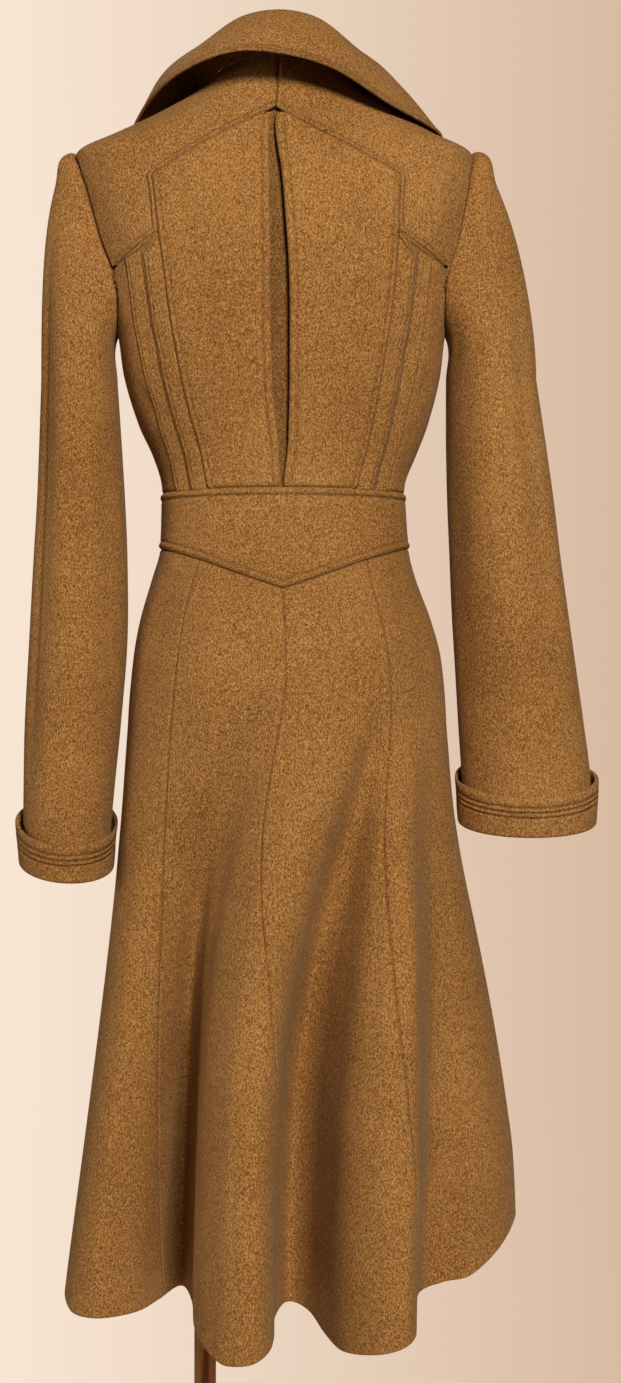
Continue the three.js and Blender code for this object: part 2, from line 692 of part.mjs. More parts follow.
// Sleeves: from the armhole over the cap, then hanging down to the turned-back cuff
function sleeveSection(name, turn, z) {
  const table = SLEEVES[name];
  const [outer, inner] = [sample(table, "outer", z), sample(table, "inner", z)];
  const [across, along] = [Math.cos(turn * radians), Math.sin(turn * radians)];
  let swell = 0;
  for (const fold of SLEEVE_FOLDS[name]) {
    const apart = wrapped(turn - fold.turn) / fold.width;
    const run = smooth((fold.from - z) / 90) * smooth((z - fold.to) / 90);
    swell += fold.depth * run * Math.exp(-apart * apart);
  }
  const depth = sample(table, along > 0 ? "back" : "front", z);
  return vector(
    (outer + inner) / 2 + ((outer - inner) / 2 + swell) * across,
    (depth + swell) * along,
    z,
  );
}
const sleeveFoot = (name, turn) => {
  const { foot, backDrop, outerRise } = CUFFS[name];
  return foot - backDrop * Math.sin(turn * radians) + outerRise * Math.cos(turn * radians);
};
const cuffLip = 4.6;

// The sleeve's outer surface: level 1 is the armhole, 0 the end of the cap and -1 the foot
function sleeveSurface(name, turn, level) {
  const side = name === "left" ? 1 : -1;
  if (level <= 0) {
    const z = lerp(capFoot, sleeveFoot(name, turn) + cuffLip, -level);
    const point = sleeveSection(name, turn, z);
    point.x *= side;
    return point;
  }
  const around = THREE.MathUtils.euclideanModulo(turn, 360);
  const theta = sample(ARMHOLE, "theta", around, "turn");
  const start = onCoat(side * theta, armholeLevel(around));
  const centre = onCoat(side * sideSeam, armholeMiddle);
  const towards = vector(0, centre.y - start.y, centre.z - start.z).normalize();
  const cornerRoom = 1.9 * Math.exp(-(((around - 122) / 24) ** 2));
  start.addScaledVector(towards, 0.85 + cornerRoom);
  const end = sleeveSection(name, turn, capFoot);
  end.x *= side;
  const [across, along] = [Math.cos(turn * radians), Math.sin(turn * radians)];
  const out = vector(side * (60 + 38 * across), 20 * along, -45);
  const drop = vector(0, 0, -(start.z - capFoot));
  const t = 1 - level;
  const [t2, t3] = [t * t, t * t * t];
  return start
    .multiplyScalar(2 * t3 - 3 * t2 + 1)
    .addScaledVector(out, t3 - 2 * t2 + t)
    .addScaledVector(end, 3 * t2 - 2 * t3)
    .addScaledVector(drop, t3 - t2);
}
function onSleeve(name, turn, level, lift) {
  const surface = (u, v) => sleeveSurface(name, u, v);
  const [du, dv] = [1, 0.01];
  const [v1, v2] = [Math.max(-1.2, level - dv), Math.min(1, level + dv)];
  const alongU = surface(turn + du, level).sub(surface(turn - du, level));
  const alongV = surface(turn, v2).sub(surface(turn, v1));
  const normal = alongU.cross(alongV).normalize();
  const outward = name === "left" ? 1 : -1;
  return surface(turn, level).addScaledVector(normal, lift * outward);
}
const sleeveTurns = Array.from({ length: 24 }, (_, i) => (360 * i) / 24);
const sleeveLevels = [1, 0.94, 0.84, 0.7, 0.5, 0.25, 0, -0.15, -0.32, -0.5, -0.68, -0.85, -1];
for (const { name } of SIDES) {
  const rings = (lift) =>
    sleeveLevels.map((level) => sleeveTurns.map((turn) => onSleeve(name, turn, level, lift)));
  add(coat, `sleeve_${name}`, ringBody([...rings(0), ...rings(-cloth).reverse()]), wool);

  const { height } = CUFFS[name];
  const CUFF_PROFILE = [
    { out: -2, up: 0.6 },
    { out: -0.8, up: 0 },
    { out: 2.6, up: 0 },
    { out: 4.2, up: 1.8 },
    { out: 6.6, up: height - 1 },
    { out: 6, up: height },
    { out: 3.9, up: height },
    { out: 3.4, up: height - 1 },
    { out: 0.8, up: 8 },
    { out: 0.6, up: cuffLip - layGap },
    { out: -2, up: cuffLip - layGap },
  ];
  const cuffRings = CUFF_PROFILE.map(({ out, up }) =>
    sleeveTurns.map((turn) => {
      const z = sleeveFoot(name, turn) + up;
      const point = sleeveSection(name, turn, z);
      const heading = vector(Math.cos(turn * radians), Math.sin(turn * radians), 0);
      point.addScaledVector(heading, out);
      point.z -= (Math.max(0, up - 8) / (height - 8)) * 7 * Math.sin(turn * radians);
      if (name === "right") point.x *= -1;
      return point;
    }),
  );
  add(coat, `cuff_${name}`, ringBody(cuffRings), wool);
}

// Waist: the set-in back band with its point, and the belt ends that meet in the buckle
const kneeAngle = backAngle(bandKnee.reach, bandKnee.z);
function bandFoot(theta) {
  const turn = Math.abs(wrapped(theta));
  if (turn >= sideSeam) return bandSide;
  const across = Math.sin(turn * radians);
  const knee = Math.sin(kneeAngle * radians);
  if (turn <= kneeAngle) return lerp(bandPoint, bandKnee.z, across / knee);
  return lerp(bandKnee.z, bandSide, (across - knee) / (1 - knee));
}
const bandLift = 1.2;
add(coat, "waistband_back", panel({
  across: [-90, -75, -60, -48, -kneeAngle, -24, -12, 0, 12, 24, kneeAngle, 48, 60, 75, 90],
  up: steps(3),
  place: (theta, t) => [theta, lerp(bandFoot(theta), bandTop, t)],
  lift: () => bandLift,
  thick: bandCloth,
}), wool);

const BELT_OVER = [
  { turn: 90, lift: bandLift },
  { turn: 150, lift: bandLift },
  { turn: 162, lift: 4.4 },
  { turn: 170, lift: 4.4 },
  { turn: 176, lift: 7.6 },
  { turn: 184, lift: 7.6 },
  { turn: 190, lift: 4.4 },
  { turn: 214, lift: 4.4 },
];
const beltAcross = [90, 101, 112, 123, 134, 143, 150, 156, 162, 166, 170, 173, 176, 180, 184, 187, 190, 194, 199, 205];
add(coat, "belt_left", panel({
  across: [90, 101, 112, 123, 134, 145, 156, 168, 180, 190],
  up: steps(2),
  place: (theta, t) => [theta, lerp(bandSide, bandTop, t)],
  lift: () => bandLift,
  thick: bandCloth,
}), wool);
add(coat, "belt_right", panel({
  side: -1,
  across: [...beltAcross, 210, 216, 223],
  up: steps(4),
  place: (theta, t) => {
    const tip = (bandTop - bandSide) / 2 - 2;
    const taper = tip * smooth((theta - 208) / 22);
    return [theta, lerp(bandSide + 0.6 + taper, bandTop - 0.6 - taper, t)];
  },
  lift: (s, t, theta) => corners(BELT_OVER, "lift", theta, "turn"),
  thick: 2.6,
}), wool);

// Joins closed meshes into one solid
function joined(geometries) {
  const solids = geometries.map((geometry) => {
    const merged = mergeVertices(geometry, 1e-3);
    return new wasm.Manifold(
      new wasm.Mesh({
        numProp: 3,
        vertProperties: new Float32Array(merged.attributes.position.array),
        triVerts: new Uint32Array(merged.index.array),
      }),
    );
  });
  const { vertProperties, triVerts } = solids.reduce((sum, solid) => sum.add(solid)).getMesh();
  const geometry = new THREE.BufferGeometry();
  geometry.setAttribute("position", new THREE.Float32BufferAttribute(vertProperties, 3));
  geometry.setIndex(new THREE.Uint32BufferAttribute(triVerts, 1));
  return geometry;
}

// A curved bar on the coat between two angles, two levels and two heights above the cloth
function bar([from, to], [low, high], [under, over], across, up) {
  const grid = (lift) =>
    steps(up).map((t) => steps(across).map((s) => onCoat(lerp(from, to, s), lerp(low, high, t), lift)));
  return wall(grid(over), grid(under));
}
const buckle = { half: 15.5, bar: 4.6, low: bandSide - 8, high: bandTop + 8, rim: 6.5 };
const bucklePieces = [
  bar([180 - buckle.half, 180 + buckle.half], [buckle.high - buckle.rim, buckle.high], [1.7, 8.2], 5, 1),
  bar([180 - buckle.half, 180 + buckle.half], [buckle.low, buckle.low + buckle.rim], [1.7, 8.2], 5, 1),
  bar([180 - buckle.half, 180 - buckle.half + buckle.bar], [buckle.low, buckle.high], [5.1, 8.4], 1, 5),
  bar([180 + buckle.half - buckle.bar, 180 + buckle.half], [buckle.low, buckle.high], [5.1, 8.4], 1, 5),
  bar([178, 182], [buckle.low + 2, buckle.high - 2], [1.7, 4.4], 1, 5),
];
add(coat, "belt_buckle", joined(bucklePieces), horn);

// Skirt: eight gores running out into flutes, the right front lapping over the left
const goreNames = ["skirt_back", "skirt_side_back", "skirt_side_front", "skirt_front"];
const GORE_TURNS = [
  [0, 3, 6, 9, 12, 16, 20, 24, 28, 31, 34, 37, 40],
  [40, 46, 52, 58, 64, 70, 77, 84, 90],
  [90, 97, 104, 111, 118, 125, 132, 140],
  [140, 147, 154, 161, 168, 174, 180, 180 + skirtLapTurn],
];
// The left back seam bows outwards between the waist and the hem
const seamBow = (side, theta, t) =>
  side > 0 ? 5 * Math.sin(Math.PI * t ** 0.75) * Math.exp(-(((theta - 40) / 16) ** 2)) : 0;
const goreRows = [0, 0.07, 0.15, 0.23, 0.31, 0.39, 0.47, 0.55, 0.64, 0.73, 0.82, 0.91, 1];
for (const { name, side } of SIDES)
  goreNames.forEach((gore, i) => {
    const under = gore === "skirt_front" && name === "left";
    add(coat, `${gore}_${name}`, panel({
      side,
      across: GORE_TURNS[i],
      up: goreRows,
      place: (turn, t) => {
        const theta = turn + seamBow(side, turn, t);
        return [theta, lerp(bandFoot(theta), hemLevel(side * theta), t)];
      },
      lift: (s, t, theta) => (under ? underLap(theta) : 0),
      inset: goreInset,
    }), wool);
  });

// Buttons down the centre front, on the right front's outer face
const BUTTONS = [
  { z: 1100, seat: 0.6 },
  { z: 1056, seat: 0.8 },
  { z: 905, seat: 0.6 },
  { z: 835, seat: 0.7 },
  { z: 765, seat: 1.5 },
];
const buttonProfile = [
  [0, 0],
  [11.5, 0],
  [13, 1.4],
  [12.4, 4],
  [9.5, 3.6],
  [8, 2.6],
  [0, 2.4],
].map(([radius, height]) => new THREE.Vector2(radius, height));
BUTTONS.forEach(({ z, seat: gap }, i) => {
  const seat = onCoat(180, z, gap);
  const normal = onCoat(180, z, 1).sub(onCoat(180, z, 0)).normalize();
  const geometry = new THREE.LatheGeometry(buttonProfile, 14);
  const turn = new THREE.Quaternion().setFromUnitVectors(vector(0, 1, 0), normal);
  geometry.applyQuaternion(turn).translate(seat.x, seat.y, seat.z);
  add(coat, `button_${i + 1}`, geometry, horn);
});

// Display form: a smooth limbless torso on a pole and a round base
const formLevels = [
  860, 900, 935, 965, 1000, 1030, 1068, 1110, 1150, 1195, 1240, 1279, 1300, 1314, 1326, 1338, 1352, 1364,
  1374, 1386, 1412,
];
const formTurns = Array.from({ length: 28 }, (_, i) => (360 * i) / 28 - 180);
function formPoint(theta, z) {
  const onShoulder = smooth((z - 1314) / 12) * smooth((1376 - z) / 8);
  const shoulderPart = Math.abs(Math.sin(theta * radians)) ** 2;
  const backPart = Math.max(0, Math.cos(theta * radians)) ** 2;
  const pleatRoom = 9 * backPart * smooth((z - 1000) / 40) * smooth((1375 - z) / 50);
  const lapRoom = 3 * Math.max(0, -Math.cos(theta * radians)) ** 6 * smooth((1180 - z) / 50);
  const gap = lerp(formGap + pleatRoom + lapRoom, shoulderGap, onShoulder * shoulderPart);
  return onCoat(theta, z, -cloth - gap);
}
add(stand, "form_torso", cappedBody(formLevels.map((z) => {
  const ring = formTurns.map((theta) => formPoint(theta, z));
  if (z === formFoot || z === formNeckTop) ring.forEach((point) => point.setZ(z));
  return ring;
})), formFabric);

const poleSocket = { radius: 24, height: 34 };
const poleFoot = baseThick + 0.3;
const poleTop = formFoot - 0.3;
const poleProfile = [
  [0, poleFoot],
  [poleSocket.radius, poleFoot],
  [poleSocket.radius, poleFoot + 8],
  [poleRadius + 4, poleFoot + 14],
  [poleRadius + 4, poleFoot + poleSocket.height],
  [poleRadius, poleFoot + poleSocket.height],
  [poleRadius, poleTop - 5],
  [poleRadius + 12, poleTop - 5],
  [poleRadius + 12, poleTop],
  [0, poleTop],
].map(([radius, height]) => new THREE.Vector2(radius, height));
const pole = new THREE.LatheGeometry(poleProfile, 20).rotateX(Math.PI / 2).translate(poleX, poleY, 0);
add(stand, "form_pole", pole, brass);

const baseProfile = [
  [0, 0],
  [baseRadius - 1.5, 0],
  [baseRadius, 1.5],
  [baseRadius, baseThick - 3],
  [baseRadius - 3, baseThick],
  [0, baseThick],
].map(([radius, height]) => new THREE.Vector2(radius, height));
add(stand, "form_base", new THREE.LatheGeometry(baseProfile, 40).rotateX(Math.PI / 2), darkMetal);

const beltedCoat = new THREE.Group();
beltedCoat.add(coat, stand);
export default beltedCoat;
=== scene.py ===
import math

import bmesh
import bpy
import numpy as np
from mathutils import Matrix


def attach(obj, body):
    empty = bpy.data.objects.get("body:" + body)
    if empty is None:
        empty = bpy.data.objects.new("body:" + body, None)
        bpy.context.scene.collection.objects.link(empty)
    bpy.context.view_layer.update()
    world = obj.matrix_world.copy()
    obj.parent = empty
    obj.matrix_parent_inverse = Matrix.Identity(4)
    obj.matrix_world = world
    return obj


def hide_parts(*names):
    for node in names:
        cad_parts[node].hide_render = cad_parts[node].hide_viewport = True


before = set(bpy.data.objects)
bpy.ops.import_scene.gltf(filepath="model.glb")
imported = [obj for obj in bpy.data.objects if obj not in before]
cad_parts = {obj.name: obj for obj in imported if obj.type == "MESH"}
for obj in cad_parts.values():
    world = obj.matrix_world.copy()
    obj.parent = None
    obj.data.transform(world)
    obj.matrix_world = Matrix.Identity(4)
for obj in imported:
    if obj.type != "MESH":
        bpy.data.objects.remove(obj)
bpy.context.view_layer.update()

# Room and light
# The coat is looked at from behind, level with its skirt. A pale floor disc lies under the
# stand, the backdrop is a warm colour with painted light that makes it lighter on the camera's
# left, and large soft panels light the cloth.
scene = bpy.context.scene
scene.view_settings.view_transform = "Standard"
camera_data = bpy.data.cameras.new("camera")
camera_data.lens = 60.7
camera = bpy.data.objects.new("camera", camera_data)
camera.location = (-0.027, 2.1, 0.83)
camera.rotation_euler = (math.radians(90), 0, math.radians(180))
scene.collection.objects.link(camera)
scene.camera = camera


def new_node(tree, kind, **settings):
    node = tree.nodes.new(kind)
    for key, value in settings.items():
        setattr(node, key, value)
    return node


world = bpy.data.worlds.new("backdrop")
world.use_nodes = True
scene.world = world
sky = world.node_tree
sky.nodes.clear()
heading = new_node(sky, "ShaderNodeTexCoord")
heading_parts = new_node(sky, "ShaderNodeSeparateXYZ")
sky.links.new(heading.outputs["Generated"], heading_parts.inputs[0])
# The backdrop seen by the camera is painted light: it runs from a darker, pinker tone on the camera's
# right to a lighter cream on its left, as if lit from that side.
side_share = new_node(sky, "ShaderNodeMapRange")
side_share.inputs["From Min"].default_value = -0.14
side_share.inputs["From Max"].default_value = 0.14
sky.links.new(heading_parts.outputs["X"], side_share.inputs["Value"])
painted_wall_light = new_node(sky, "ShaderNodeMix", data_type="RGBA")
painted_wall_light.inputs["A"].default_value = (0.68, 0.48, 0.35, 1)
painted_wall_light.inputs["B"].default_value = (0.95, 0.80, 0.66, 1)
sky.links.new(side_share.outputs[0], painted_wall_light.inputs["Factor"])
seen_wall = new_node(sky, "ShaderNodeBackground")
sky.links.new(painted_wall_light.outputs["Result"], seen_wall.inputs["Color"])
room_light = new_node(sky, "ShaderNodeBackground")
room_light.inputs["Color"].default_value = (1.0, 0.93, 0.86, 1)
room_light.inputs["Strength"].default_value = 0.09
ray = new_node(sky, "ShaderNodeLightPath")
wall_or_light = new_node(sky, "ShaderNodeMixShader")
sky.links.new(ray.outputs["Is Camera Ray"], wall_or_light.inputs[0])
sky.links.new(room_light.outputs[0], wall_or_light.inputs[1])
sky.links.new(seen_wall.outputs[0], wall_or_light.inputs[2])
sky_out = new_node(sky, "ShaderNodeOutputWorld")
sky.links.new(wall_or_light.outputs[0], sky_out.inputs["Surface"])

# Name, place, aim, size in metres, power in watts and tint
LIGHT_PANELS = [
    ("room", (-0.8, 3.3, 2.2), (0, 0, 0.8), 0.7, 141, (1.0, 0.92, 0.82)),
    ("window", (3.0, 0.7, 1.0), (0, 0, 0.6), 0.9, 26, (1.0, 0.90, 0.78)),
    ("front_side", (0.5, -3.2, 2.0), (0, 0, 0.85), 1.8, 46, (1.0, 0.91, 0.82)),
]
for panel_name, spot, aim, size, power, tint in LIGHT_PANELS:
    lamp = bpy.data.lights.new(panel_name, "AREA")
    lamp.size = size
    lamp.energy = power
    lamp.color = tint
    holder = bpy.data.objects.new(panel_name, lamp)
    holder.location = spot
    away = np.array(spot) - np.array(aim)
    flat_reach = math.hypot(away[0], away[1])
    holder.rotation_euler = (math.atan2(flat_reach, away[2]), 0, math.atan2(away[0], -away[1]))
    scene.collection.objects.link(holder)

floor_mesh = bpy.data.meshes.new("floor")
bm = bmesh.new()
bmesh.ops.create_circle(bm, cap_ends=True, segments=128, radius=0.69)
bm.to_mesh(floor_mesh)
bm.free()
floor = bpy.data.objects.new("floor", floor_mesh)
scene.collection.objects.link(floor)
floor_paint = bpy.data.materials.new("pale_floor")
floor_paint.use_nodes = True
floor_paint.node_tree.nodes["Principled BSDF"].inputs["Base Color"].default_value = (0.8, 0.75, 0.7, 1)
floor_paint.node_tree.nodes["Principled BSDF"].inputs["Roughness"].default_value = 0.8
floor_mesh.materials.append(floor_paint)

# Display form
# A limbless padded torso under a plain cotton cover stands on a brass pole, which is screwed
# into a round steel plate with a dark satin paint. It fills the coat out and carries it.
BODY = np.array([
    # level, left, right, back, front, power of the rounded section
    (260, 137, 200, 116, 106, 2),
    (393, 136, 196, 116, 104, 2),
    (462, 136, 179, 116, 103, 2),
    (642, 136, 154, 116, 100, 2),
    (710, 137, 149, 116, 98, 2),
    (800, 137, 149, 116, 96, 2),
    (860, 132, 144, 115, 95, 2),
    (894, 126, 135, 110, 93, 2),
    (932, 115, 121, 97, 90, 2),
    (956, 108, 115, 88, 88, 2),
    (985, 106, 112, 83, 87, 2),
    (1016, 107, 112, 83, 89, 2),
    (1042, 115, 122, 86, 97, 2),
    (1068, 127, 132, 91, 110, 2.05),
    (1110, 140, 143, 98, 123, 2.15),
    (1150, 146, 148, 100, 117, 2.25),
    (1199, 157, 158, 101, 101, 2.3),
    (1235, 167, 165, 99, 87, 2.3),
    (1279, 177, 171, 90, 70, 2.3),
    (1300, 182, 172, 83, 63, 2.25),
    (1314, 182, 170, 79, 60, 2.2),
    (1326, 155, 144, 77, 58, 2.2),
    (1338, 128, 121, 75, 56, 2.15),
    (1352, 100, 96, 72, 54, 2.1),
    (1364, 79, 76, 69, 51, 2.05),
    (1374, 67, 65, 66, 49, 2),
    (1386, 61, 59, 62, 47, 2),
    (1430, 58, 56, 60, 46, 2),
], float)
HEM = np.array([
    # angle round the body, then where the hem's edge is
    (-180, 0, -176, 285), (-170, -32, -178, 287), (-160, -62, -162, 292), (-150, -84, -142, 298),
    (-140, -110, -160, 302), (-130, -145, -170, 308), (-120, -170, -148, 322),
    (-110, -189, -120, 335), (-100, -214, -100, 345), (-90, -217, -62, 343), (-80, -200, -20, 325),
    (-70, -172, 2, 305), (-60, -147, 0, 298), (-52, -126, 10, 292), (-46, -119, 50, 286),
    (-41, -118, 92, 281), (-37, -116, 134, 285), (-33, -109, 152, 283), (-28, -95, 151, 277),
    (-23, -80, 144, 273), (-18, -62, 129, 270), (-14, -50, 109, 269), (-10, -38, 70, 272),
    (-6, -24, 30, 281), (-2, -6, 18, 285), (1, 4, 58, 281), (4, 4, 108, 277), (8, 8, 146, 275),
    (13, 22, 166, 271), (18, 44, 158, 268), (21, 55, 142, 270), (24, 66, 118, 275),
    (28, 74, 84, 281), (32, 79, 20, 285), (36, 91, -34, 286), (41, 108, 4, 284), (46, 121, 36, 283),
    (52, 138, 57, 283), (60, 161, 70, 284), (70, 183, 50, 284), (80, 194, 6, 288),
    (90, 193, -32, 291), (100, 185, -64, 292), (110, 168, -94, 295), (120, 157, -130, 293),
    (130, 138, -162, 288), (140, 106, -162, 288), (150, 80, -142, 292), (160, 60, -162, 288),
    (170, 32, -178, 285), (180, 0, -176, 285),
], float)
# How far the flutes lean towards the wearer's left as they go down, by angle round the body
LEAN = np.array([
    (-180, 0), (-100, 0), (-85, 3), (-70, 9), (-60, 13), (-50, 18), (-40, 28), (-30, 35), (-22, 36),
    (-5, 34), (10, 28), (22, 20), (35, 9), (50, 0), (180, 0),
], float)
flute_top = 800
cloth = 2.4


def smooth(share):
    share = np.clip(share, 0, 1)
    return share * share * (3 - 2 * share)


def blend(low, high, share):
    return low + (high - low) * share


def curve(table, column, at):
    """A smooth curve through one column of a table."""
    xs, ys = table[:, 0], table[:, column]
    last = len(xs) - 1
    before = np.maximum(np.arange(last + 1) - 1, 0)
    after = np.minimum(np.arange(last + 1) + 1, last)
    slope = (ys[after] - ys[before]) / (xs[after] - xs[before])
    row = np.clip(np.searchsorted(xs, at, side="left") - 1, 0, last - 1)
    span = xs[row + 1] - xs[row]
    t = np.clip((at - xs[row]) / span, 0, 1)
    t2, t3 = t * t, t * t * t
    near = (2 * t3 - 3 * t2 + 1) * ys[row] + (t3 - 2 * t2 + t) * span * slope[row]
    return near + (3 * t2 - 2 * t3) * ys[row + 1] + (t3 - t2) * span * slope[row + 1]


def half_width(z):
    return (curve(BODY, 1, z) + curve(BODY, 2, z)) / 2


def signed_power(value, power):
    return np.sign(value) * np.abs(value) ** power


def wrapped(theta):
    return (theta + 180) % 360 - 180


def hem_level(theta):
    return curve(HEM, 3, wrapped(theta))


def garment(theta, z):
    """The coat's outer surface in millimetres, running out into the flutes of the hem."""
    theta, z = np.broadcast_arrays(np.asarray(theta, float), np.asarray(z, float))
    power = 2 / curve(BODY, 5, z)
    across, along = np.sin(np.radians(theta)), np.cos(np.radians(theta))
    depth = np.where(along > 0, curve(BODY, 3, z), curve(BODY, 4, z))
    middle = (curve(BODY, 1, z) - curve(BODY, 2, z)) / 2
    x = middle + half_width(z) * signed_power(across, power)
    y = depth * signed_power(along, power)
    here = wrapped(theta)
    near_back = np.exp(-((here / 48) ** 2))
    top = flute_top + 40 * near_back
    down = np.clip((top - z) / (top - hem_level(theta)), 0, None) ** 1.25
    share = np.where(down < 1, 1 - np.clip(1 - down, 0, 1) ** (1 + near_back), np.minimum(down, 1.1))
    turn = here + curve(LEAN, 1, here) * (1 - share)
    x = blend(x, curve(HEM, 1, turn), share)
    y = blend(y, curve(HEM, 2, turn), share)
    return np.stack([x, y, z], -1)


def unit(vectors):
    return vectors / np.maximum(np.linalg.norm(vectors, axis=-1, keepdims=True), 1e-9)


def coat_normal(theta, z):
    round_it = garment(theta + 0.25, z) - garment(theta - 0.25, z)
    up = garment(theta, z + 0.5) - garment(theta, z - 0.5)
    return unit(np.cross(up, round_it))


def on_coat(theta, z, lift=0.0):
    theta, z = np.broadcast_arrays(np.asarray(theta, float), np.asarray(z, float))
    return garment(theta, z) + coat_normal(theta, z) * np.asarray(lift)[..., None]


def placed_grid(name, points, wrap=False):
    """A grid whose points are moved to their places in millimetres; wrap is not used."""
    rows, columns = points.shape[:2]
    bm = bmesh.new()
    bmesh.ops.create_grid(bm, x_segments=columns - 1, y_segments=rows - 1, size=1)
    mesh = bpy.data.meshes.new(name)
    bm.to_mesh(mesh)
    bm.free()
    flat = np.empty(len(mesh.vertices) * 3)
    mesh.vertices.foreach_get("co", flat)
    flat = flat.reshape(-1, 3)
    column = np.rint((flat[:, 0] + 1) / 2 * (columns - 1)).astype(int)
    row = np.rint((flat[:, 1] + 1) / 2 * (rows - 1)).astype(int)
    mesh.vertices.foreach_set("co", (points[row, column] / 1000).ravel())
    return mesh, row, column


def add_map(mesh, name, first, second):
    """A UV map that keeps two lengths, in metres, for the materials to read."""
    corner_vertex = np.empty(len(mesh.loops), int)
    mesh.loops.foreach_get("vertex_index", corner_vertex)
    layer = mesh.uv_layers.new(name=name)
    pair = np.stack([first, second], -1)[corner_vertex] / 1000
    layer.data.foreach_set("uv", pair.ravel())


def face_out(mesh, outward, weld):
    """Turns the faces to the given side and joins points that lie on each other."""
    bm = bmesh.new()
    bm.from_mesh(mesh)
    bm.faces.ensure_lookup_table()
    agree = 0
    for face in list(bm.faces)[:: max(1, len(bm.faces) // 60)]:
        agree += 1 if face.normal.dot(outward(face.verts[0].index)) > 0 else -1
    if agree < 0:
        bmesh.ops.reverse_faces(bm, faces=bm.faces)
    if weld:
        bmesh.ops.remove_doubles(bm, verts=bm.verts, dist=1e-6)
    for face in bm.faces:
        face.smooth = True
    bm.to_mesh(mesh)
    bm.free()


def new_material(name, color, roughness, metallic=0.0, sheen=0.0):
    material = bpy.data.materials.new(name)
    material.use_nodes = True
    shader = material.node_tree.nodes["Principled BSDF"]
    shader.inputs["Base Color"].default_value = (*color, 1)
    shader.inputs["Roughness"].default_value = roughness
    shader.inputs["Metallic"].default_value = metallic
    shader.inputs["Sheen Weight"].default_value = sheen
    return material, material.node_tree, shader


def noise(tree, scale, detail, roughness=0.55, stretch=(1, 1, 1)):
    place = new_node(tree, "ShaderNodeTexCoord")
    mapping = new_node(tree, "ShaderNodeMapping")
    mapping.inputs["Scale"].default_value = stretch
    tree.links.new(place.outputs["Object"], mapping.inputs["Vector"])
    texture = new_node(tree, "ShaderNodeTexNoise")
    texture.inputs["Scale"].default_value = scale
    texture.inputs["Detail"].default_value = detail
    texture.inputs["Roughness"].default_value = roughness
    tree.links.new(mapping.outputs[0], texture.inputs["Vector"])
    return texture.outputs["Fac"]


def math_node(tree, operation, first, second=None, third=None):
    node = new_node(tree, "ShaderNodeMath", operation=operation)
    for socket, value in zip(node.inputs, (first, second, third)):
        if value is None:
            continue
        if hasattr(value, "links"):
            tree.links.new(value, socket)
        else:
            socket.default_value = value
    return node.outputs[0]


def ramp(tree, value, stops):
    node = new_node(tree, "ShaderNodeValToRGB")
    tree.links.new(value, node.inputs[0])
    while len(node.color_ramp.elements) < len(stops):
        node.color_ramp.elements.new(0.5)
    for element, (position, color) in zip(node.color_ramp.elements, stops):
        element.position = position
        element.color = (*color, 1)
    return node.outputs["Color"]


def bump(tree, shader, height, distance, strength=1.0):
    node = new_node(tree, "ShaderNodeBump")
    node.inputs["Strength"].default_value = strength
    node.inputs["Distance"].default_value = distance
    tree.links.new(height, node.inputs["Height"])
    tree.links.new(node.outputs[0], shader.inputs["Normal"])


cotton, tree, shader = new_material("form_cotton", (0.6, 0.53, 0.4), 0.9, sheen=0.2)
cotton_tone = noise(tree, 40, 3)
tree.links.new(
    ramp(tree, cotton_tone, [(0.3, (0.56, 0.48, 0.35)), (0.7, (0.66, 0.59, 0.46))]),
    shader.inputs["Base Color"],
)
threads_across = new_node(tree, "ShaderNodeTexWave", bands_direction="Z")
threads_across.inputs["Scale"].default_value = 180
cotton_place = new_node(tree, "ShaderNodeTexCoord")
tree.links.new(cotton_place.outputs["Object"], threads_across.inputs["Vector"])
threads_up = new_node(tree, "ShaderNodeTexWave", bands_direction="X")
threads_up.inputs["Scale"].default_value = 180
tree.links.new(cotton_place.outputs["Object"], threads_up.inputs["Vector"])
cotton_weave = math_node(tree, "ADD", threads_across.outputs["Fac"], threads_up.outputs["Fac"])
bump(tree, shader, cotton_weave, 0.0002, 0.6)

form_turns = np.linspace(-180, 180, 121)
form_levels = np.concatenate([np.full(9, 860.0), np.linspace(862, 1410, 110), np.full(9, 1412.0)])
form_shrink = np.concatenate([np.linspace(0.02, 1, 9), np.ones(110), np.linspace(1, 0.02, 9)])
turns, levels = np.meshgrid(form_turns, form_levels)
back_part = np.maximum(0, np.cos(np.radians(turns))) ** 2
front_part = np.maximum(0, -np.cos(np.radians(turns))) ** 6
pleat_room = 9 * back_part * smooth((levels - 1000) / 40) * smooth((1375 - levels) / 50)
lap_room = 3 * front_part * smooth((1180 - levels) / 50)
on_shoulder = smooth((levels - 1314) / 12) * smooth((1376 - levels) / 8)
form_gap = blend(4 + pleat_room + lap_room, 0.8, on_shoulder * np.sin(np.radians(turns)) ** 2)
form_points = on_coat(turns, levels, -cloth - form_gap)
form_points[:, :, 2] = np.where(form_shrink[:, None] < 1, levels, form_points[:, :, 2])
form_middle = form_points[:, :-1].mean(axis=1, keepdims=True)
form_points = form_middle + (form_points - form_middle) * form_shrink[:, None, None]
for seam_turn in (-180, -140, -40, 0, 40, 140, 180):
    apart = np.abs(turns - seam_turn)
    inward = unit(form_middle - form_points) * (form_shrink[:, None, None] == 1)
    form_points += inward * (0.9 * np.exp(-((apart / 1.4) ** 2)))[:, :, None]
form_points[:, -1] = form_points[:, 0]
form_mesh, row, column = placed_grid("dress_form", form_points)
form_outward = unit(form_points - form_middle)
face_out(form_mesh, lambda i: form_outward[row[i], column[i]], weld=True)
bm = bmesh.new()
bm.from_mesh(form_mesh)
bmesh.ops.holes_fill(bm, edges=[edge for edge in bm.edges if edge.is_boundary], sides=0)
bmesh.ops.recalc_face_normals(bm, faces=bm.faces)
bm.to_mesh(form_mesh)
bm.free()
dress_form = bpy.data.objects.new("dress_form", form_mesh)
scene.collection.objects.link(dress_form)
form_mesh.materials.append(cotton)
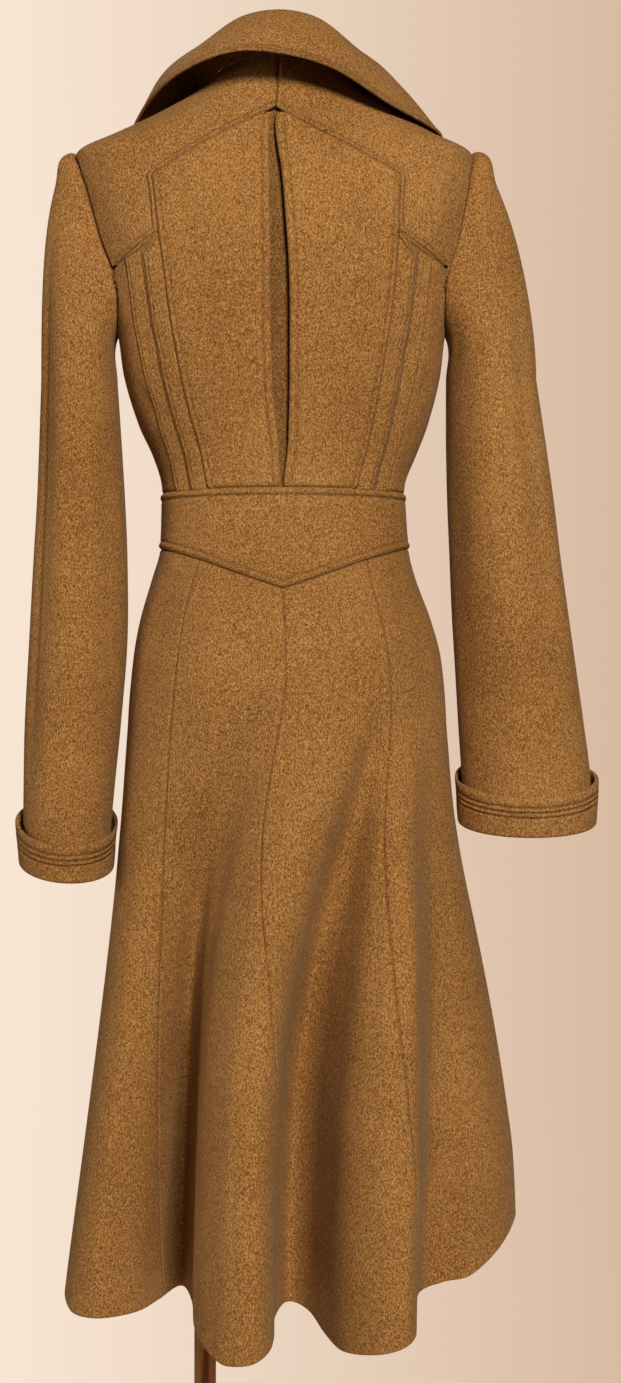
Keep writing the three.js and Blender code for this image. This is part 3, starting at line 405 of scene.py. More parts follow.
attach(dress_form, "root")
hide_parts("form_torso")

brass, tree, shader = new_material("brass_painted_reflections", (0.55, 0.32, 0.12), 0.28, metallic=1.0)
# Dark and light streaks running down the pole are painted reflections in the brass colour.
painted_reflection_streaks = noise(tree, 60, 4, stretch=(1, 1, 0.04))
tree.links.new(
    ramp(tree, painted_reflection_streaks, [(0.40, (0.16, 0.045, 0.020)), (0.58, (0.62, 0.30, 0.09))]),
    shader.inputs["Base Color"],
)
brass_wear = noise(tree, 220, 2, stretch=(1, 1, 0.1))
tree.links.new(
    ramp(tree, brass_wear, [(0.3, (0.22, 0.22, 0.22)), (0.75, (0.42, 0.42, 0.42))]),
    shader.inputs["Roughness"],
)
dark_paint, tree, shader = new_material("satin_paint", (0.05, 0.04, 0.03), 0.42)
paint_tone = noise(tree, 320, 3)
tree.links.new(
    ramp(tree, paint_tone, [(0.3, (0.042, 0.032, 0.026)), (0.7, (0.066, 0.052, 0.042))]),
    shader.inputs["Base Color"],
)
bump(tree, shader, paint_tone, 0.0002, 0.4)
for node_name, finish in (("form_pole", brass), ("form_base", dark_paint)):
    node_object = bpy.data.objects[node_name]
    for material_slot in node_object.material_slots:
        material_slot.material = finish

# Pleat underlay
# A strip of the same camel wool lies behind the open pleat at the centre back. It hangs a
# little behind the two panel edges and is caught in the yoke seam and in the waist seam.
tuck_step = 1.7
lay_gap = 0.4
band_top = 1007
yoke_peak = 1338


def length_along(points, axis):
    return np.linalg.norm(np.diff(points, axis=axis), axis=-1).sum(axis=axis)


# Where the rows of points nearest an edge lie, in millimetres from it
EDGE_ROWS = (0.0, 0.5, 1.2, 2.2)


def spread(length, step, edge=EDGE_ROWS):
    """Shares along a length: close together at both ends and even between them."""
    ends = np.array(edge) / max(length, edge[-1] * 3)
    middle = np.linspace(ends[-1], 1 - ends[-1], max(4, round(length / step)))[1:-1]
    return np.concatenate([ends, middle, (1 - ends)[::-1]])


def distance_to(points, line):
    """How far each point is from a line of points, in millimetres."""
    flat = points.reshape(-1, 3)
    nearest = np.full(len(flat), 1e9)
    for start, end in zip(line[:-1], line[1:]):
        along = end - start
        size = max(float(along @ along), 1e-12)
        t = np.clip((flat - start) @ along / size, 0, 1)
        gap = flat - start - t[:, None] * along
        nearest = np.minimum(nearest, np.einsum("ij,ij->i", gap, gap))
    return np.sqrt(nearest).reshape(points.shape[:2])


# What an edge does to the cloth beside it: its roll's depth and width, and the swell inside it
EDGE_KINDS = {
    "seam": (1.15, 1.3, 0.15),
    "fold": (1.2, 0.8, 0.8),
    "tuck": (0.0, 1.0, 0.3),
    "gore": (0.5, 1.0, 0.25),
    "free": (0.7, 0.7, 0.0),
    "none": (0.0, 1.0, 0.0),
}


def edge_relief(distance, kind, rows):
    deep, wide, swell = EDGE_KINDS[kind]
    relief = -deep * np.exp(-((distance / wide) ** 2))
    relief += swell * np.exp(-(((distance - 3.2) / 2.2) ** 2))
    for row in rows:
        relief -= 0.45 * np.exp(-(((distance - row) / 1.15) ** 2))
    return relief


WOOL_DARK = (0.112, 0.043, 0.007)
WOOL_MIDDLE = (0.255, 0.108, 0.024)
WOOL_LIGHT = (0.500, 0.270, 0.090)
wool_finishes = {}


def fading(tree, length, middle, reach, strength):
    """Strength where a kept length is at its middle, fading out over its reach, in millimetres."""
    gap = math_node(tree, "ABSOLUTE", math_node(tree, "SUBTRACT", length, middle / 1000))
    line = new_node(tree, "ShaderNodeMapRange", interpolation_type="SMOOTHSTEP")
    line.inputs["From Min"].default_value = 0.0
    line.inputs["From Max"].default_value = reach / 1000
    line.inputs["To Min"].default_value = strength
    line.inputs["To Max"].default_value = 0.0
    tree.links.new(gap, line.inputs["Value"])
    return line.outputs[0]


def wool(rows, painted_shade=1):
    """Napped heather wool. rows says which kept length each stitch row and seam line follows and how far
    off it is, and these lines are darkened as painted shade in their grooves. A painted_shade below 1
    darkens the whole piece as painted shade, for a piece that lies in shadow."""
    key = (tuple(sorted(rows)), painted_shade)
    if key in wool_finishes:
        return wool_finishes[key]
    material, tree, shader = new_material(f"camel_wool_{len(wool_finishes) + 1}", WOOL_MIDDLE, 0.95)
    shader.inputs["Sheen Weight"].default_value = 0.07
    shader.inputs["Sheen Roughness"].default_value = 0.5
    shader.inputs["Sheen Tint"].default_value = (0.95, 0.75, 0.5, 1)
    shader.inputs["Specular IOR Level"].default_value = 0.15
    flecks = noise(tree, 1500, 3, 0.7, stretch=(1, 1, 0.5))
    tufts = noise(tree, 760, 2, 0.6, stretch=(1, 1, 0.6))
    patches = noise(tree, 9, 2)
    mixed = math_node(tree, "MULTIPLY_ADD", flecks, 0.62, math_node(tree, "MULTIPLY", tufts, 0.38))
    mixed = math_node(tree, "MULTIPLY_ADD", patches, 0.08, mixed)
    color = ramp(tree, mixed, [
        (0.44, tuple(painted_shade * value for value in WOOL_DARK)),
        (0.53, tuple(painted_shade * value for value in WOOL_MIDDLE)),
        (0.63, tuple(painted_shade * value for value in WOOL_LIGHT)),
    ])
    height = math_node(tree, "MULTIPLY_ADD", flecks, 0.5, math_node(tree, "MULTIPLY", tufts, 0.5))
    if rows:
        groove, roll, before = None, None, (None, 0)
        for which, away in sorted(set(rows)):
            kept = new_node(tree, "ShaderNodeUVMap", uv_map="lines_a" if which < 2 else "lines_b")
            parts = new_node(tree, "ShaderNodeSeparateXYZ")
            tree.links.new(kept.outputs[0], parts.inputs[0])
            length = parts.outputs["X" if which % 2 == 0 else "Y"]
            line = fading(tree, length, away, 1.9 if away else 2.2, 0.8)
            groove = line if groove is None else math_node(tree, "MAXIMUM", groove, line)
            if away:
                inner = before[1] if before[0] == which else 0
                swell = fading(tree, length, (away + inner) / 2, (away - inner) / 2, 1.0)
                roll = swell if roll is None else math_node(tree, "MAXIMUM", roll, swell)
            before = (which, away)
        # Stitch rows and seam lines are darkened in the colour as painted shade in their grooves.
        painted_groove_shade = new_node(tree, "ShaderNodeMix", data_type="RGBA", blend_type="MULTIPLY")
        painted_groove_shade.inputs["B"].default_value = (0.62, 0.55, 0.48, 1)
        tree.links.new(math_node(tree, "POWER", groove, 3.0), painted_groove_shade.inputs["Factor"])
        tree.links.new(color, painted_groove_shade.inputs["A"])
        color = painted_groove_shade.outputs["Result"]
        height = math_node(tree, "SUBTRACT", height, math_node(tree, "MULTIPLY", groove, 1.4))
        if roll is not None:
            height = math_node(tree, "ADD", height, math_node(tree, "MULTIPLY", roll, 1.3))
    tree.links.new(color, shader.inputs["Base Color"])
    bump(tree, shader, height, 0.0008, 0.8)
    wool_finishes[key] = material
    return material


def sewn_piece(name, base, normal, lift, lines, thick=cloth, wrap=False, folds=None, painted_shade=1):
    """Makes a cut piece of the coat from its grid of points, with its edges and stitch rows."""
    relief = np.zeros(base.shape[:2])
    lengths, stitch_rows = [], []
    for which, (line, kind, rows) in enumerate(lines):
        distance = distance_to(base, line)
        lengths.append(distance)
        relief += edge_relief(distance, kind, rows)
        stitch_rows += [(which, row) for row in rows]
        # Seams get a row at no distance, which the material draws as a line of painted shade.
        if kind in ("seam", "tuck", "gore"):
            stitch_rows.append((which, 0))
    if folds is not None:
        relief += folds
    points = base + normal * (lift + relief)[..., None]
    mesh, row, column = placed_grid(name, points)
    while len(lengths) < 4:
        lengths.append(np.full(base.shape[:2], 1000.0))
    add_map(mesh, "lines_a", lengths[0][row, column], lengths[1][row, column])
    add_map(mesh, "lines_b", lengths[2][row, column], lengths[3][row, column])
    face_out(mesh, lambda i: normal[row[i], column[i]], weld=wrap)
    piece = bpy.data.objects.new(name, mesh)
    scene.collection.objects.link(piece)
    wall = piece.modifiers.new("cloth", "SOLIDIFY")
    wall.thickness = thick / 1000
    wall.offset = -1
    mesh.materials.append(wool(stitch_rows, painted_shade))
    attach(piece, "root")
    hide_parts(name)
    return piece


def soft_folds(theta, z, marks):
    """Troughs and ridges in the cloth: each runs between two points, with a width and a depth."""
    height = np.zeros(np.broadcast(theta, z).shape)
    for theta_1, z_1, theta_2, z_2, wide, deep in marks:
        across = wrapped(theta - theta_1) * 2.0
        up = z - z_1
        run = np.array([(theta_2 - theta_1) * 2.0, z_2 - z_1])
        size = float(np.hypot(*run))
        along = (across * run[0] + up * run[1]) / size
        off = (across * run[1] - up * run[0]) / size
        taper = smooth(along / (0.4 * size)) * smooth((size - along) / (0.4 * size))
        height += deep * np.exp(-((off / wide) ** 2)) * taper
    return height


# The creases of the bodice and the skirt: start, end, width and depth
COAT_FOLDS = [
    (20, 1008, 15, 1085, 9, -1.1), (-24, 1008, -17, 1070, 10, -1.0), (36, 1010, 33, 1060, 8, -0.9),
    (-40, 1010, -36, 1050, 8, -0.9), (8, 1225, 40, 1180, 20, -1.2), (-9, 1240, -38, 1190, 22, -1.2),
    (60, 1150, 34, 1110, 12, -1.6), (-62, 1150, -36, 1100, 12, -1.6), (70, 1110, 50, 1060, 10, -1.4),
    (-72, 1115, -52, 1060, 10, -1.4), (28, 1290, 22, 1235, 6, -1.5),
    (-20, 1260, -17, 1130, 11, -2.0), (-26, 1230, -25, 1100, 12, 1.3), (14, 1180, 12, 1050, 13, 1.2),
    (24, 1200, 20, 1090, 12, -1.4), (-46, 1300, -34, 1225, 12, -1.6), (47, 1300, 35, 1235, 12, -1.4),
    (58, 1255, 46, 1215, 8, 1.3), (-60, 1260, -48, 1215, 8, 1.3), (14, 910, 17, 800, 14, -1.6),
    (-14, 905, -16, 780, 15, -1.4), (30, 925, 33, 840, 12, 1.2), (-31, 925, -34, 830, 12, 1.2),
    (55, 945, 62, 850, 16, -1.6), (-54, 945, -61, 840, 16, -1.6), (120, 1110, 150, 1040, 14, -1.5),
    (-120, 1105, -150, 1035, 14, -1.5), (125, 950, 130, 830, 16, -1.6),
    (-128, 950, -133, 840, 16, -1.4), (160, 1150, 150, 1080, 12, -1.2),
    (-160, 1150, -150, 1080, 12, -1.2), (165, 945, 168, 830, 14, -1.3),
    (-166, 945, -169, 850, 14, -1.3),
]


def coat_piece(name, place, step, lines, lift, side=1, thick=cloth, edge=EDGE_ROWS, painted_shade=1):
    """A piece cut for the body: place gives its angle and level for each share across and up."""
    s, t = np.meshgrid(np.linspace(0, 1, 25), np.linspace(0, 1, 25))
    theta, z = place(s, t)
    rough = garment(side * theta, z)
    across = spread(length_along(rough, 1).max(), step, edge)
    up = spread(length_along(rough, 0).max(), step, edge)
    s, t = np.meshgrid(across, up)
    theta, z = place(s, t)
    theta = side * theta
    base = garment(theta, z)
    edges = {"start": base[:, 0], "end": base[:, -1], "low": base[0], "high": base[-1]}
    real_lines = []
    for line, kind, rows in lines:
        if isinstance(line, str):
            line = edges[line]
        real_lines.append((line, kind, rows))
    raised = lift(s, t, theta * side, z) if callable(lift) else np.full(s.shape, float(lift))
    folds = soft_folds(theta, z, COAT_FOLDS)
    normal = coat_normal(theta, z)
    return sewn_piece(name, base, normal, raised, real_lines, thick, folds=folds, painted_shade=painted_shade)


def back_angle(reach, z):
    share = np.minimum(1, reach / half_width(z)) ** (curve(BODY, 5, z) / 2)
    return np.degrees(np.arcsin(share))


underlay_half = 24
underlay_top = yoke_peak + 8
underlay_hollow = 8


def underlay_place(s, t):
    z = blend(band_top, underlay_top, t)
    return (2 * s - 1) * back_angle(underlay_half, z), z


def underlay_lift(s, t, theta, z):
    return -cloth - lay_gap - tuck_step - underlay_hollow * np.sin(np.pi * t) ** 0.6


# The underlay's wool is darkened as painted shade, for the shadow inside the open pleat.
coat_piece(
    "pleat_underlay", underlay_place, 3,
    [("start", "free", []), ("end", "free", [])],
    underlay_lift, painted_shade=0.62,
)

# Back panels
# Two panels of the wool, one each side of the pleat, taper from the shoulder blades to the
# waist. Their folded edges lap over the tucks and carry a row of sunk stitching.
PLEAT_EDGE = np.array([
    (1007, 0.9), (1029, 2.8), (1058, 5.2), (1093, 7.2), (1143, 8.1), (1171, 8.2), (1231, 6.9),
    (1290, 4.5), (1338, 1.2),
], float)
CENTRE_SEAM = np.array([
    (1007, 65), (1050, 75), (1079, 82), (1120, 90), (1165, 97), (1229, 104), (1279, 108),
], float)
TUCK_EDGE = np.array([
    (1007, 93), (1033, 99), (1055, 106), (1085, 114), (1115, 121), (1147, 127), (1179, 131),
    (1210, 135),
], float)
YOKE_EDGE = np.array([
    (1201.3, 149), (1229, 104), (1254, 106), (1279, 108), (1306, 62), (1334, 8), (1338, 1),
], float)
side_seam = 90
yoke_corner = 1279
yoke_point = 1201.3
panel_top = 1333


def yoke_low(z):
    reach = np.interp(z, YOKE_EDGE[:, 0], YOKE_EDGE[:, 1])
    return np.where(z > yoke_peak, 0, back_angle(reach, z))


def centre_seam(z):
    return np.where(z > yoke_corner, yoke_low(z), back_angle(curve(CENTRE_SEAM, 1, z), z))


def tuck_edge(z):
    limit = np.where(z > yoke_point, yoke_low(z), side_seam)
    return np.minimum(back_angle(curve(TUCK_EDGE, 1, z), z), limit)


def back_panel_place(s, t):
    z = blend(band_top, panel_top, t)
    return blend(back_angle(curve(PLEAT_EDGE, 1, z), z), centre_seam(z), s), z


SIDES = [("left", 1), ("right", -1)]
for side_name, side in SIDES:
    seam_levels = np.linspace(yoke_corner, 1336, 40)
    outer_levels = np.linspace(band_top, yoke_corner, 120)
    yoke_line = garment(side * yoke_low(seam_levels), seam_levels)
    outer_line = garment(side * centre_seam(outer_levels), outer_levels)
    coat_piece(
        f"back_panel_{side_name}", back_panel_place, 2.4,
        [
            ("start", "fold", [7.2]),
            (outer_line, "fold", [5.6]),
            (yoke_line, "seam", []),
            ("low", "seam", []),
        ],
        lambda s, t, theta, z: tuck_step * s ** 3,
        side=side,
    )

# Tuck panels
# Between each back panel and the side, one piece is folded into two stitched tucks that lap
# outwards, one behind the other, from the yoke's step down to the waist seam.
tuck_top = 1227
first_tuck = 0.44


def tuck_place(s, t):
    z = blend(band_top, tuck_top, t)
    return blend(centre_seam(z), tuck_edge(z), s), z


def tuck_lift(s, t, theta, z):
    rise = s / first_tuck
    fall = 1 - (s - first_tuck) / 0.04
    second = (s - 0.48) / 0.52
    return tuck_step * np.where(s < first_tuck, rise, np.where(s < 0.48, fall, second))


for side_name, side in SIDES:
    levels = np.linspace(band_top, tuck_top, 100)
    fold_line = garment(side * blend(centre_seam(levels), tuck_edge(levels), first_tuck), levels)
    coat_piece(
        f"tuck_panel_{side_name}", tuck_place, 1.6,
        [
            ("start", "seam", []),
            ("end", "fold", [3.6]),
            (fold_line, "tuck", [3.4]),
            ("high", "seam", []),
        ],
        tuck_lift, side=side,
    )

# Yoke
# The yoke crosses the shoulders in two halves joined at the centre back. Its lower edge
# rises to a peak over the pleat, steps down beside the armholes and has two stitch rows.
neck_side = 1372
nape_top = 1386
armhole_middle = 1232
armhole_half = 82
armhole_top = armhole_middle + armhole_half
yoke_foot = 1205
ARMHOLE = np.array([
    # angle round the armhole, angle round the body
    (0, 90), (30, 81), (60, 75.5), (90, 72), (120, 68), (150, 76), (180, 90), (210, 101),
    (240, 110), (270, 113), (300, 108), (330, 98), (360, 90),
], float)


def armhole_level(turn):
    return armhole_middle + armhole_half * np.cos(np.radians(turn))


def armhole_turn(z):
    return np.degrees(np.arccos(np.clip((z - armhole_middle) / armhole_half, -1, 1)))


def neck_edge(z):
    return side_seam * np.sqrt(np.maximum(0, (nape_top - z) / (nape_top - neck_side)))


def shoulder_side(z):
    below = np.where(z > armhole_top, side_seam, curve(ARMHOLE, 1, armhole_turn(z)))
    return np.where(z > neck_side, neck_edge(z), below)


YOKE_LEVELS = np.array([
    1205, 1217, 1229, 1245, 1262, 1279, 1292, 1305, 1318, 1328, 1338, 1349, 1360, 1369, 1376, 1382,
    1385.4,
])


def yoke_place(s, t):
    z = np.interp(t, np.linspace(0, 1, len(YOKE_LEVELS)), YOKE_LEVELS)
    return blend(yoke_low(z), shoulder_side(z), s), z


for side_name, side in SIDES:
    lower = np.linspace(yoke_foot, yoke_peak, 160)
    lower_line = garment(side * yoke_low(lower), lower)
    upper = np.linspace(yoke_peak, 1385, 30)
    spine_line = garment(0 * upper, upper)
    arm_levels = np.linspace(yoke_foot, armhole_top, 60)
    arm_line = garment(side * shoulder_side(arm_levels), arm_levels)
    top_levels = np.linspace(armhole_top, neck_side, 40)
    shoulder_line = garment(side * shoulder_side(top_levels), top_levels)
    coat_piece(
        f"yoke_{side_name}", yoke_place, 2.2,
        [
            (lower_line, "fold", [5.2]),
            (spine_line, "seam", []),
            (arm_line, "seam", []),
            (shoulder_line, "seam", []),
        ],
        0.0, side=side, edge=(0.0, 0.6, 1.4),
    )

# Side panels
# Plain pieces run under the arms from the last tuck round to the seam of the front, and
# curve up to the armhole.
side_front = 109
side_top = 1209
side_step = 0.15
underarm_back = 112
underarm_front = 229


def side_place(s, t):
    reach = np.maximum(0, s - side_step) / (1 - side_step)
    turn = blend(underarm_back, underarm_front, reach)
    start_theta = tuck_edge(np.full(1, float(side_top)))[0]
    corner_theta = curve(ARMHOLE, 1, np.full(1, float(underarm_back)))[0]
    corner_z = armhole_level(underarm_back)
    on_step = s < side_step
    share = s / side_step
    top_theta = np.where(on_step, blend(start_theta, corner_theta, share), curve(ARMHOLE, 1, turn))
    top_level = np.where(on_step, blend(side_top, corner_z, share), armhole_level(turn))
    z = blend(band_top, top_level, t)
    shift = top_theta - blend(tuck_edge(top_level), side_front, s)
    return blend(tuck_edge(z), side_front, s) + shift * t ** 2, z


for side_name, side in SIDES:
    coat_piece(
        f"side_panel_{side_name}", side_place, 3,
        [("start", "seam", []), ("end", "seam", []), ("high", "seam", []), ("low", "seam", [])],
        0.0, side=side,
    )

# Fronts and lapels
# The right front laps over the left and is buttoned. Each front is cut in one from the side
# to the lap, and its revers is a second layer of the wool that lies open on the chest.
lap_gap = 1
bodice_lap = 14
break_point = 1125
NECKLINE = np.array([
    (1125, 4), (1200, 20), (1260, 35), (1318, 50), (1340, 57), (1356, 61), (1366, 64), (1372, 66),
], float)
LAPEL_EDGE = np.array([
    (1129, 9), (1150, 34), (1185, 68), (1225, 98), (1260, 116), (1285, 86), (1313, 52),
], float)
FRONT_LEVELS = np.array([
    1007, 1022, 1040, 1060, 1082, 1105, 1124.9, 1140, 1158, 1177, 1200, 1224, 1248, 1270, 1290, 1304,
    1318, 1332, 1345, 1357, 1367,
])
lap_start = 7 / 9
front_underarm = 1177
lapel_foot = 1133
lapel_top = 1312


def front_angle(reach, z):
    return 180 - back_angle(reach, z)


def front_side(z):
    below = np.where(z > front_underarm, curve(ARMHOLE, 1, 360 - armhole_turn(z)), side_front)
    return np.where(z > armhole_top, side_seam + 0.4, below)


def under_lap(theta):
    return -(cloth + lap_gap) * smooth((theta - 164) / 9)


def neckline(z):
    return front_angle(curve(NECKLINE, 1, z), z)


def front_place(s, t):
    z = np.interp(t, np.linspace(0, 1, len(FRONT_LEVELS)), FRONT_LEVELS)
    lap = back_angle(bodice_lap, z)
    open_part = blend(front_side(z), neckline(z), s)
    to_lap = blend(front_side(z), 180 - lap, s / lap_start)
    over_lap = 180 - lap + 2 * lap * (s - lap_start) / (1 - lap_start)
    closed_part = np.where(s < lap_start, to_lap, over_lap)
    return np.where(z > break_point, open_part, closed_part), z


def lapel_place(s, t):
    z = blend(lapel_foot, lapel_top, t)
    edge = np.interp(z, LAPEL_EDGE[:, 0], LAPEL_EDGE[:, 1])
    return blend(neckline(z) - 0.3, front_angle(edge, z), s), z


for side_name, side in SIDES:
    under = side_name == "left"

    def front_lift(s, t, theta, z, under=under):
        return under_lap(theta) * smooth((1175 - z) / 30) if under else 0 * z

    coat_piece(
        f"front_{side_name}", front_place, 3,
        [("start", "seam", []), ("end", "fold", [6.5]), ("low", "seam", []), ("high", "seam", [])],
        front_lift, side=side,
    )
    coat_piece(
        f"lapel_{side_name}", lapel_place, 2.6,
        [("end", "fold", [6.5]), ("start", "fold", []), ("high", "fold", []), ("low", "fold", [])],
        cloth + lay_gap, side=side,
    )

# Collar
# A wide collar stands round the neck, rolls over and falls on the shoulders. It is two layers
# of the wool, with rows of sunk stitching that follow its free edge.
collar_cloth = 2.8


def at_neck(theta):
    level = nape_top - (nape_top - neck_side) * (theta / side_seam) ** 2
    return on_coat(theta, level, -cloth) + np.array([0, 0, 2.9])


def on_chest(side, reach, z, lift):
    return on_coat(side * front_angle(reach, z), z, lift)


# From the left front round the neck to the right: the seam, the roll, the middle of the fall
# and the free edge at each station
COLLAR = [
    [
        on_chest(1, 49, 1321, 4.8), on_chest(1, 52, 1320, 6.8),
        on_chest(1, 82, 1306, 5.6), on_chest(1, 113, 1291, 5),
    ],
    [
        on_chest(1, 56, 1341, 5), on_chest(1, 61, 1343, 9.5),
        on_chest(1, 92, 1327, 7.5), on_chest(1, 123, 1309, 6),
    ],
    [
        on_chest(1, 60.5, 1358, 5), (69, -33, 1371),
        on_chest(1, 98, 1350, 9), on_chest(1, 130, 1328, 6.5),
    ],
    [at_neck(89), (80, 4, 1395), (107, 6, 1380), (129, 2, 1346)],
    [at_neck(60), (59, 38, 1405), (74, 62, 1392), (90, 78, 1366)],
    [at_neck(30), (31, 63, 1419), (38, 90, 1403), (42, 108, 1377)],
    [at_neck(0), (-3, 70, 1423), (1, 96, 1404), (4, 114, 1375)],
    [at_neck(-30), (-33, 62, 1418), (-40, 88, 1397), (-45, 103, 1365)],
    [at_neck(-60), (-60, 38, 1402), (-80, 58, 1380), (-97, 66, 1343)],
    [at_neck(-89), (-82, 4, 1391), (-117, 6, 1362), (-145, 10, 1329)],
    [
        on_chest(-1, 60.5, 1358, 6), (-70, -33, 1370),
        on_chest(-1, 108, 1343, 9), on_chest(-1, 146, 1320, 7),
    ],
    [
        on_chest(-1, 56, 1341, 5), on_chest(-1, 61, 1343, 9.5),
        on_chest(-1, 100, 1322, 8), on_chest(-1, 136, 1300, 6),
    ],
    [
        on_chest(-1, 49, 1321, 4.8), on_chest(-1, 52, 1320, 6.8),
        on_chest(-1, 84, 1304, 5.6), on_chest(-1, 119, 1285, 5),
    ],
]


def bent_line(points, share):
    """A smooth line through a few points in space, read at each share of it."""
    points = np.asarray(points, float)
    count = len(points)
    padded = np.vstack([2 * points[0] - points[1], points, 2 * points[-1] - points[-2]])
    at = np.clip(share, 0, 1) * (count - 1)
    first = np.minimum(at.astype(int), count - 2)
    weight = (at - first)[:, None]
    p0, p1, p2, p3 = (padded[first + i] for i in range(4))
    pairs = ((p0, p1), (p1, p2), (p2, p3))
    d0, d1, d2 = (np.linalg.norm(b - a, axis=1)[:, None] ** 0.5 for a, b in pairs)
    m1 = ((p1 - p0) / d0 - (p2 - p0) / (d0 + d1) + (p2 - p1) / d1) * d1
    m2 = ((p2 - p1) / d1 - (p3 - p1) / (d1 + d2) + (p3 - p2) / d2) * d1
    w2, w3 = weight ** 2, weight ** 3
    near = (2 * w3 - 3 * w2 + 1) * p1 + (w3 - 2 * w2 + weight) * m1
    return near + (3 * w2 - 2 * w3) * p2 + (w3 - w2) * m2


collar_length = 700
collar_fall = 85
along_shares = spread(collar_length, 2.6)
down_shares = spread(collar_fall, 2.0)
stations = [bent_line([np.asarray(p, float) for p in station], down_shares) for station in COLLAR]
collar_base = np.stack([
    bent_line([station[i] for station in stations], along_shares) for i in range(len(down_shares))
])
collar_out = unit(np.cross(np.gradient(collar_base, axis=0), np.gradient(collar_base, axis=1)))
sewn_piece(
    "collar", collar_base, collar_out, np.zeros(collar_base.shape[:2]),
    [
        (collar_base[-1], "fold", [3.2, 6.6]),
        (collar_base[:, 0], "fold", [5]),
        (collar_base[:, -1], "fold", [5]),
        (collar_base[0], "none", []),
    ],
    thick=collar_cloth,
)

# Sleeves
# Each sleeve is set into the armhole with a little fullness over the cap and hangs straight
# and wide, with long soft troughs down it and short pulls at the elbow.
cap_foot = 1110
SLEEVES = {
    "left": np.array([
        # level, outermost reach, innermost reach, back, front
        (640, 231, 154, 54, 62), (690, 231, 154, 54, 62), (740, 231, 150, 54, 62),
        (800, 230, 144, 54, 62), (876, 226, 138, 55, 62), (950, 222, 138, 55, 62),
        (1000, 219, 140, 55, 61), (1050, 217, 143, 55, 60), (1110, 215, 147, 55, 58),
    ], float),
    "right": np.array([
        (640, 281, 165, 46, 54), (750, 279, 163, 46, 54), (800, 273, 160, 47, 54),
        (850, 266, 157, 48, 54), (900, 259, 154, 49, 55), (950, 252, 152, 50, 56),
        (1000, 246, 150, 51, 56), (1050, 239, 149, 53, 57), (1110, 230, 149, 54, 57),
    ], float),
}
# Long folds down each sleeve: angle round it, depth, width in degrees and the levels it runs
# between
SLEEVE_FOLDS = {
    "left": [
        (40, -4, 16, 1210, 720), (78, 3, 20, 1150, 840), (135, -3, 20, 1080, 760),
        (250, -4, 22, 1120, 740), (310, 3, 20, 1060, 800),
    ],
    "right": [
        (52, -4, 18, 1230, 800), (100, 3, 20, 1120, 820), (150, -3, 20, 1060, 780),
        (245, -4, 22, 1140, 800), (300, 3, 24, 1080, 780),
    ],
}
CUFFS = {
    # foot, drop towards the back, rise at the outer side, height
    "left": (674, 12, 4, 40),
    "right": (712, 11, 0, 42),
}
cuff_lip = 4.6


def sleeve_section(name, turn, z):
    table = SLEEVES[name]
    outer, inner = curve(table, 1, z), curve(table, 2, z)
    across, along = np.cos(np.radians(turn)), np.sin(np.radians(turn))
    swell = np.zeros(np.broadcast(turn, z).shape)
    for fold_turn, deep, wide, high, low in SLEEVE_FOLDS[name]:
        apart = wrapped(turn - fold_turn) / wide
        swell += deep * smooth((high - z) / 90) * smooth((z - low) / 90) * np.exp(-apart * apart)
    depth = np.where(along > 0, curve(table, 3, z), curve(table, 4, z))
    x = (outer + inner) / 2 + ((outer - inner) / 2 + swell) * across
    return np.stack([x, (depth + swell) * along, z + 0 * x], -1)


def sleeve_foot(name, turn):
    foot, back_drop, outer_rise, _ = CUFFS[name]
    return foot - back_drop * np.sin(np.radians(turn)) + outer_rise * np.cos(np.radians(turn))


def sleeve_surface(name, turn, level):
    side = 1 if name == "left" else -1
    hanging_z = blend(cap_foot, sleeve_foot(name, turn) + cuff_lip, np.maximum(0, -level))
    hanging = sleeve_section(name, turn, hanging_z)
    around = turn % 360
    theta = curve(ARMHOLE, 1, around)
    start = on_coat(side * theta, armhole_level(around))
    centre = on_coat(side * side_seam, float(armhole_middle))
    towards = centre - start
    towards[..., 0] = 0
    corner_room = 1.9 * np.exp(-(((around - 122) / 24) ** 2))
    start = start + unit(towards) * (0.85 + corner_room)[..., None]
    end = sleeve_section(name, turn, np.full(turn.shape, float(cap_foot)))
    hanging[..., 0] *= side
    end[..., 0] *= side
    across, along = np.cos(np.radians(turn)), np.sin(np.radians(turn))
    out = np.stack([side * (60 + 38 * across), 20 * along, 0 * across - 45], -1)
    drop = np.zeros(out.shape)
    drop[..., 2] = -(start[..., 2] - cap_foot)
    t = (1 - np.clip(level, 0, 1))[..., None]
    t2, t3 = t * t, t * t * t
    cap = (2 * t3 - 3 * t2 + 1) * start + (t3 - 2 * t2 + t) * out
    cap += (3 * t2 - 2 * t3) * end + (t3 - t2) * drop
    return np.where((level > 0)[..., None], cap, hanging)


def tube_out(points):
    """Directions square to a tube of points whose first and last columns lie on each other."""
    ring = np.concatenate([points[:, -2:-1], points, points[:, 1:2]], axis=1)
    return unit(np.cross(ring[:, 2:] - ring[:, :-2], np.gradient(points, axis=0)))


SLEEVE_HEAD = {"left": 7.0, "right": 9.0}
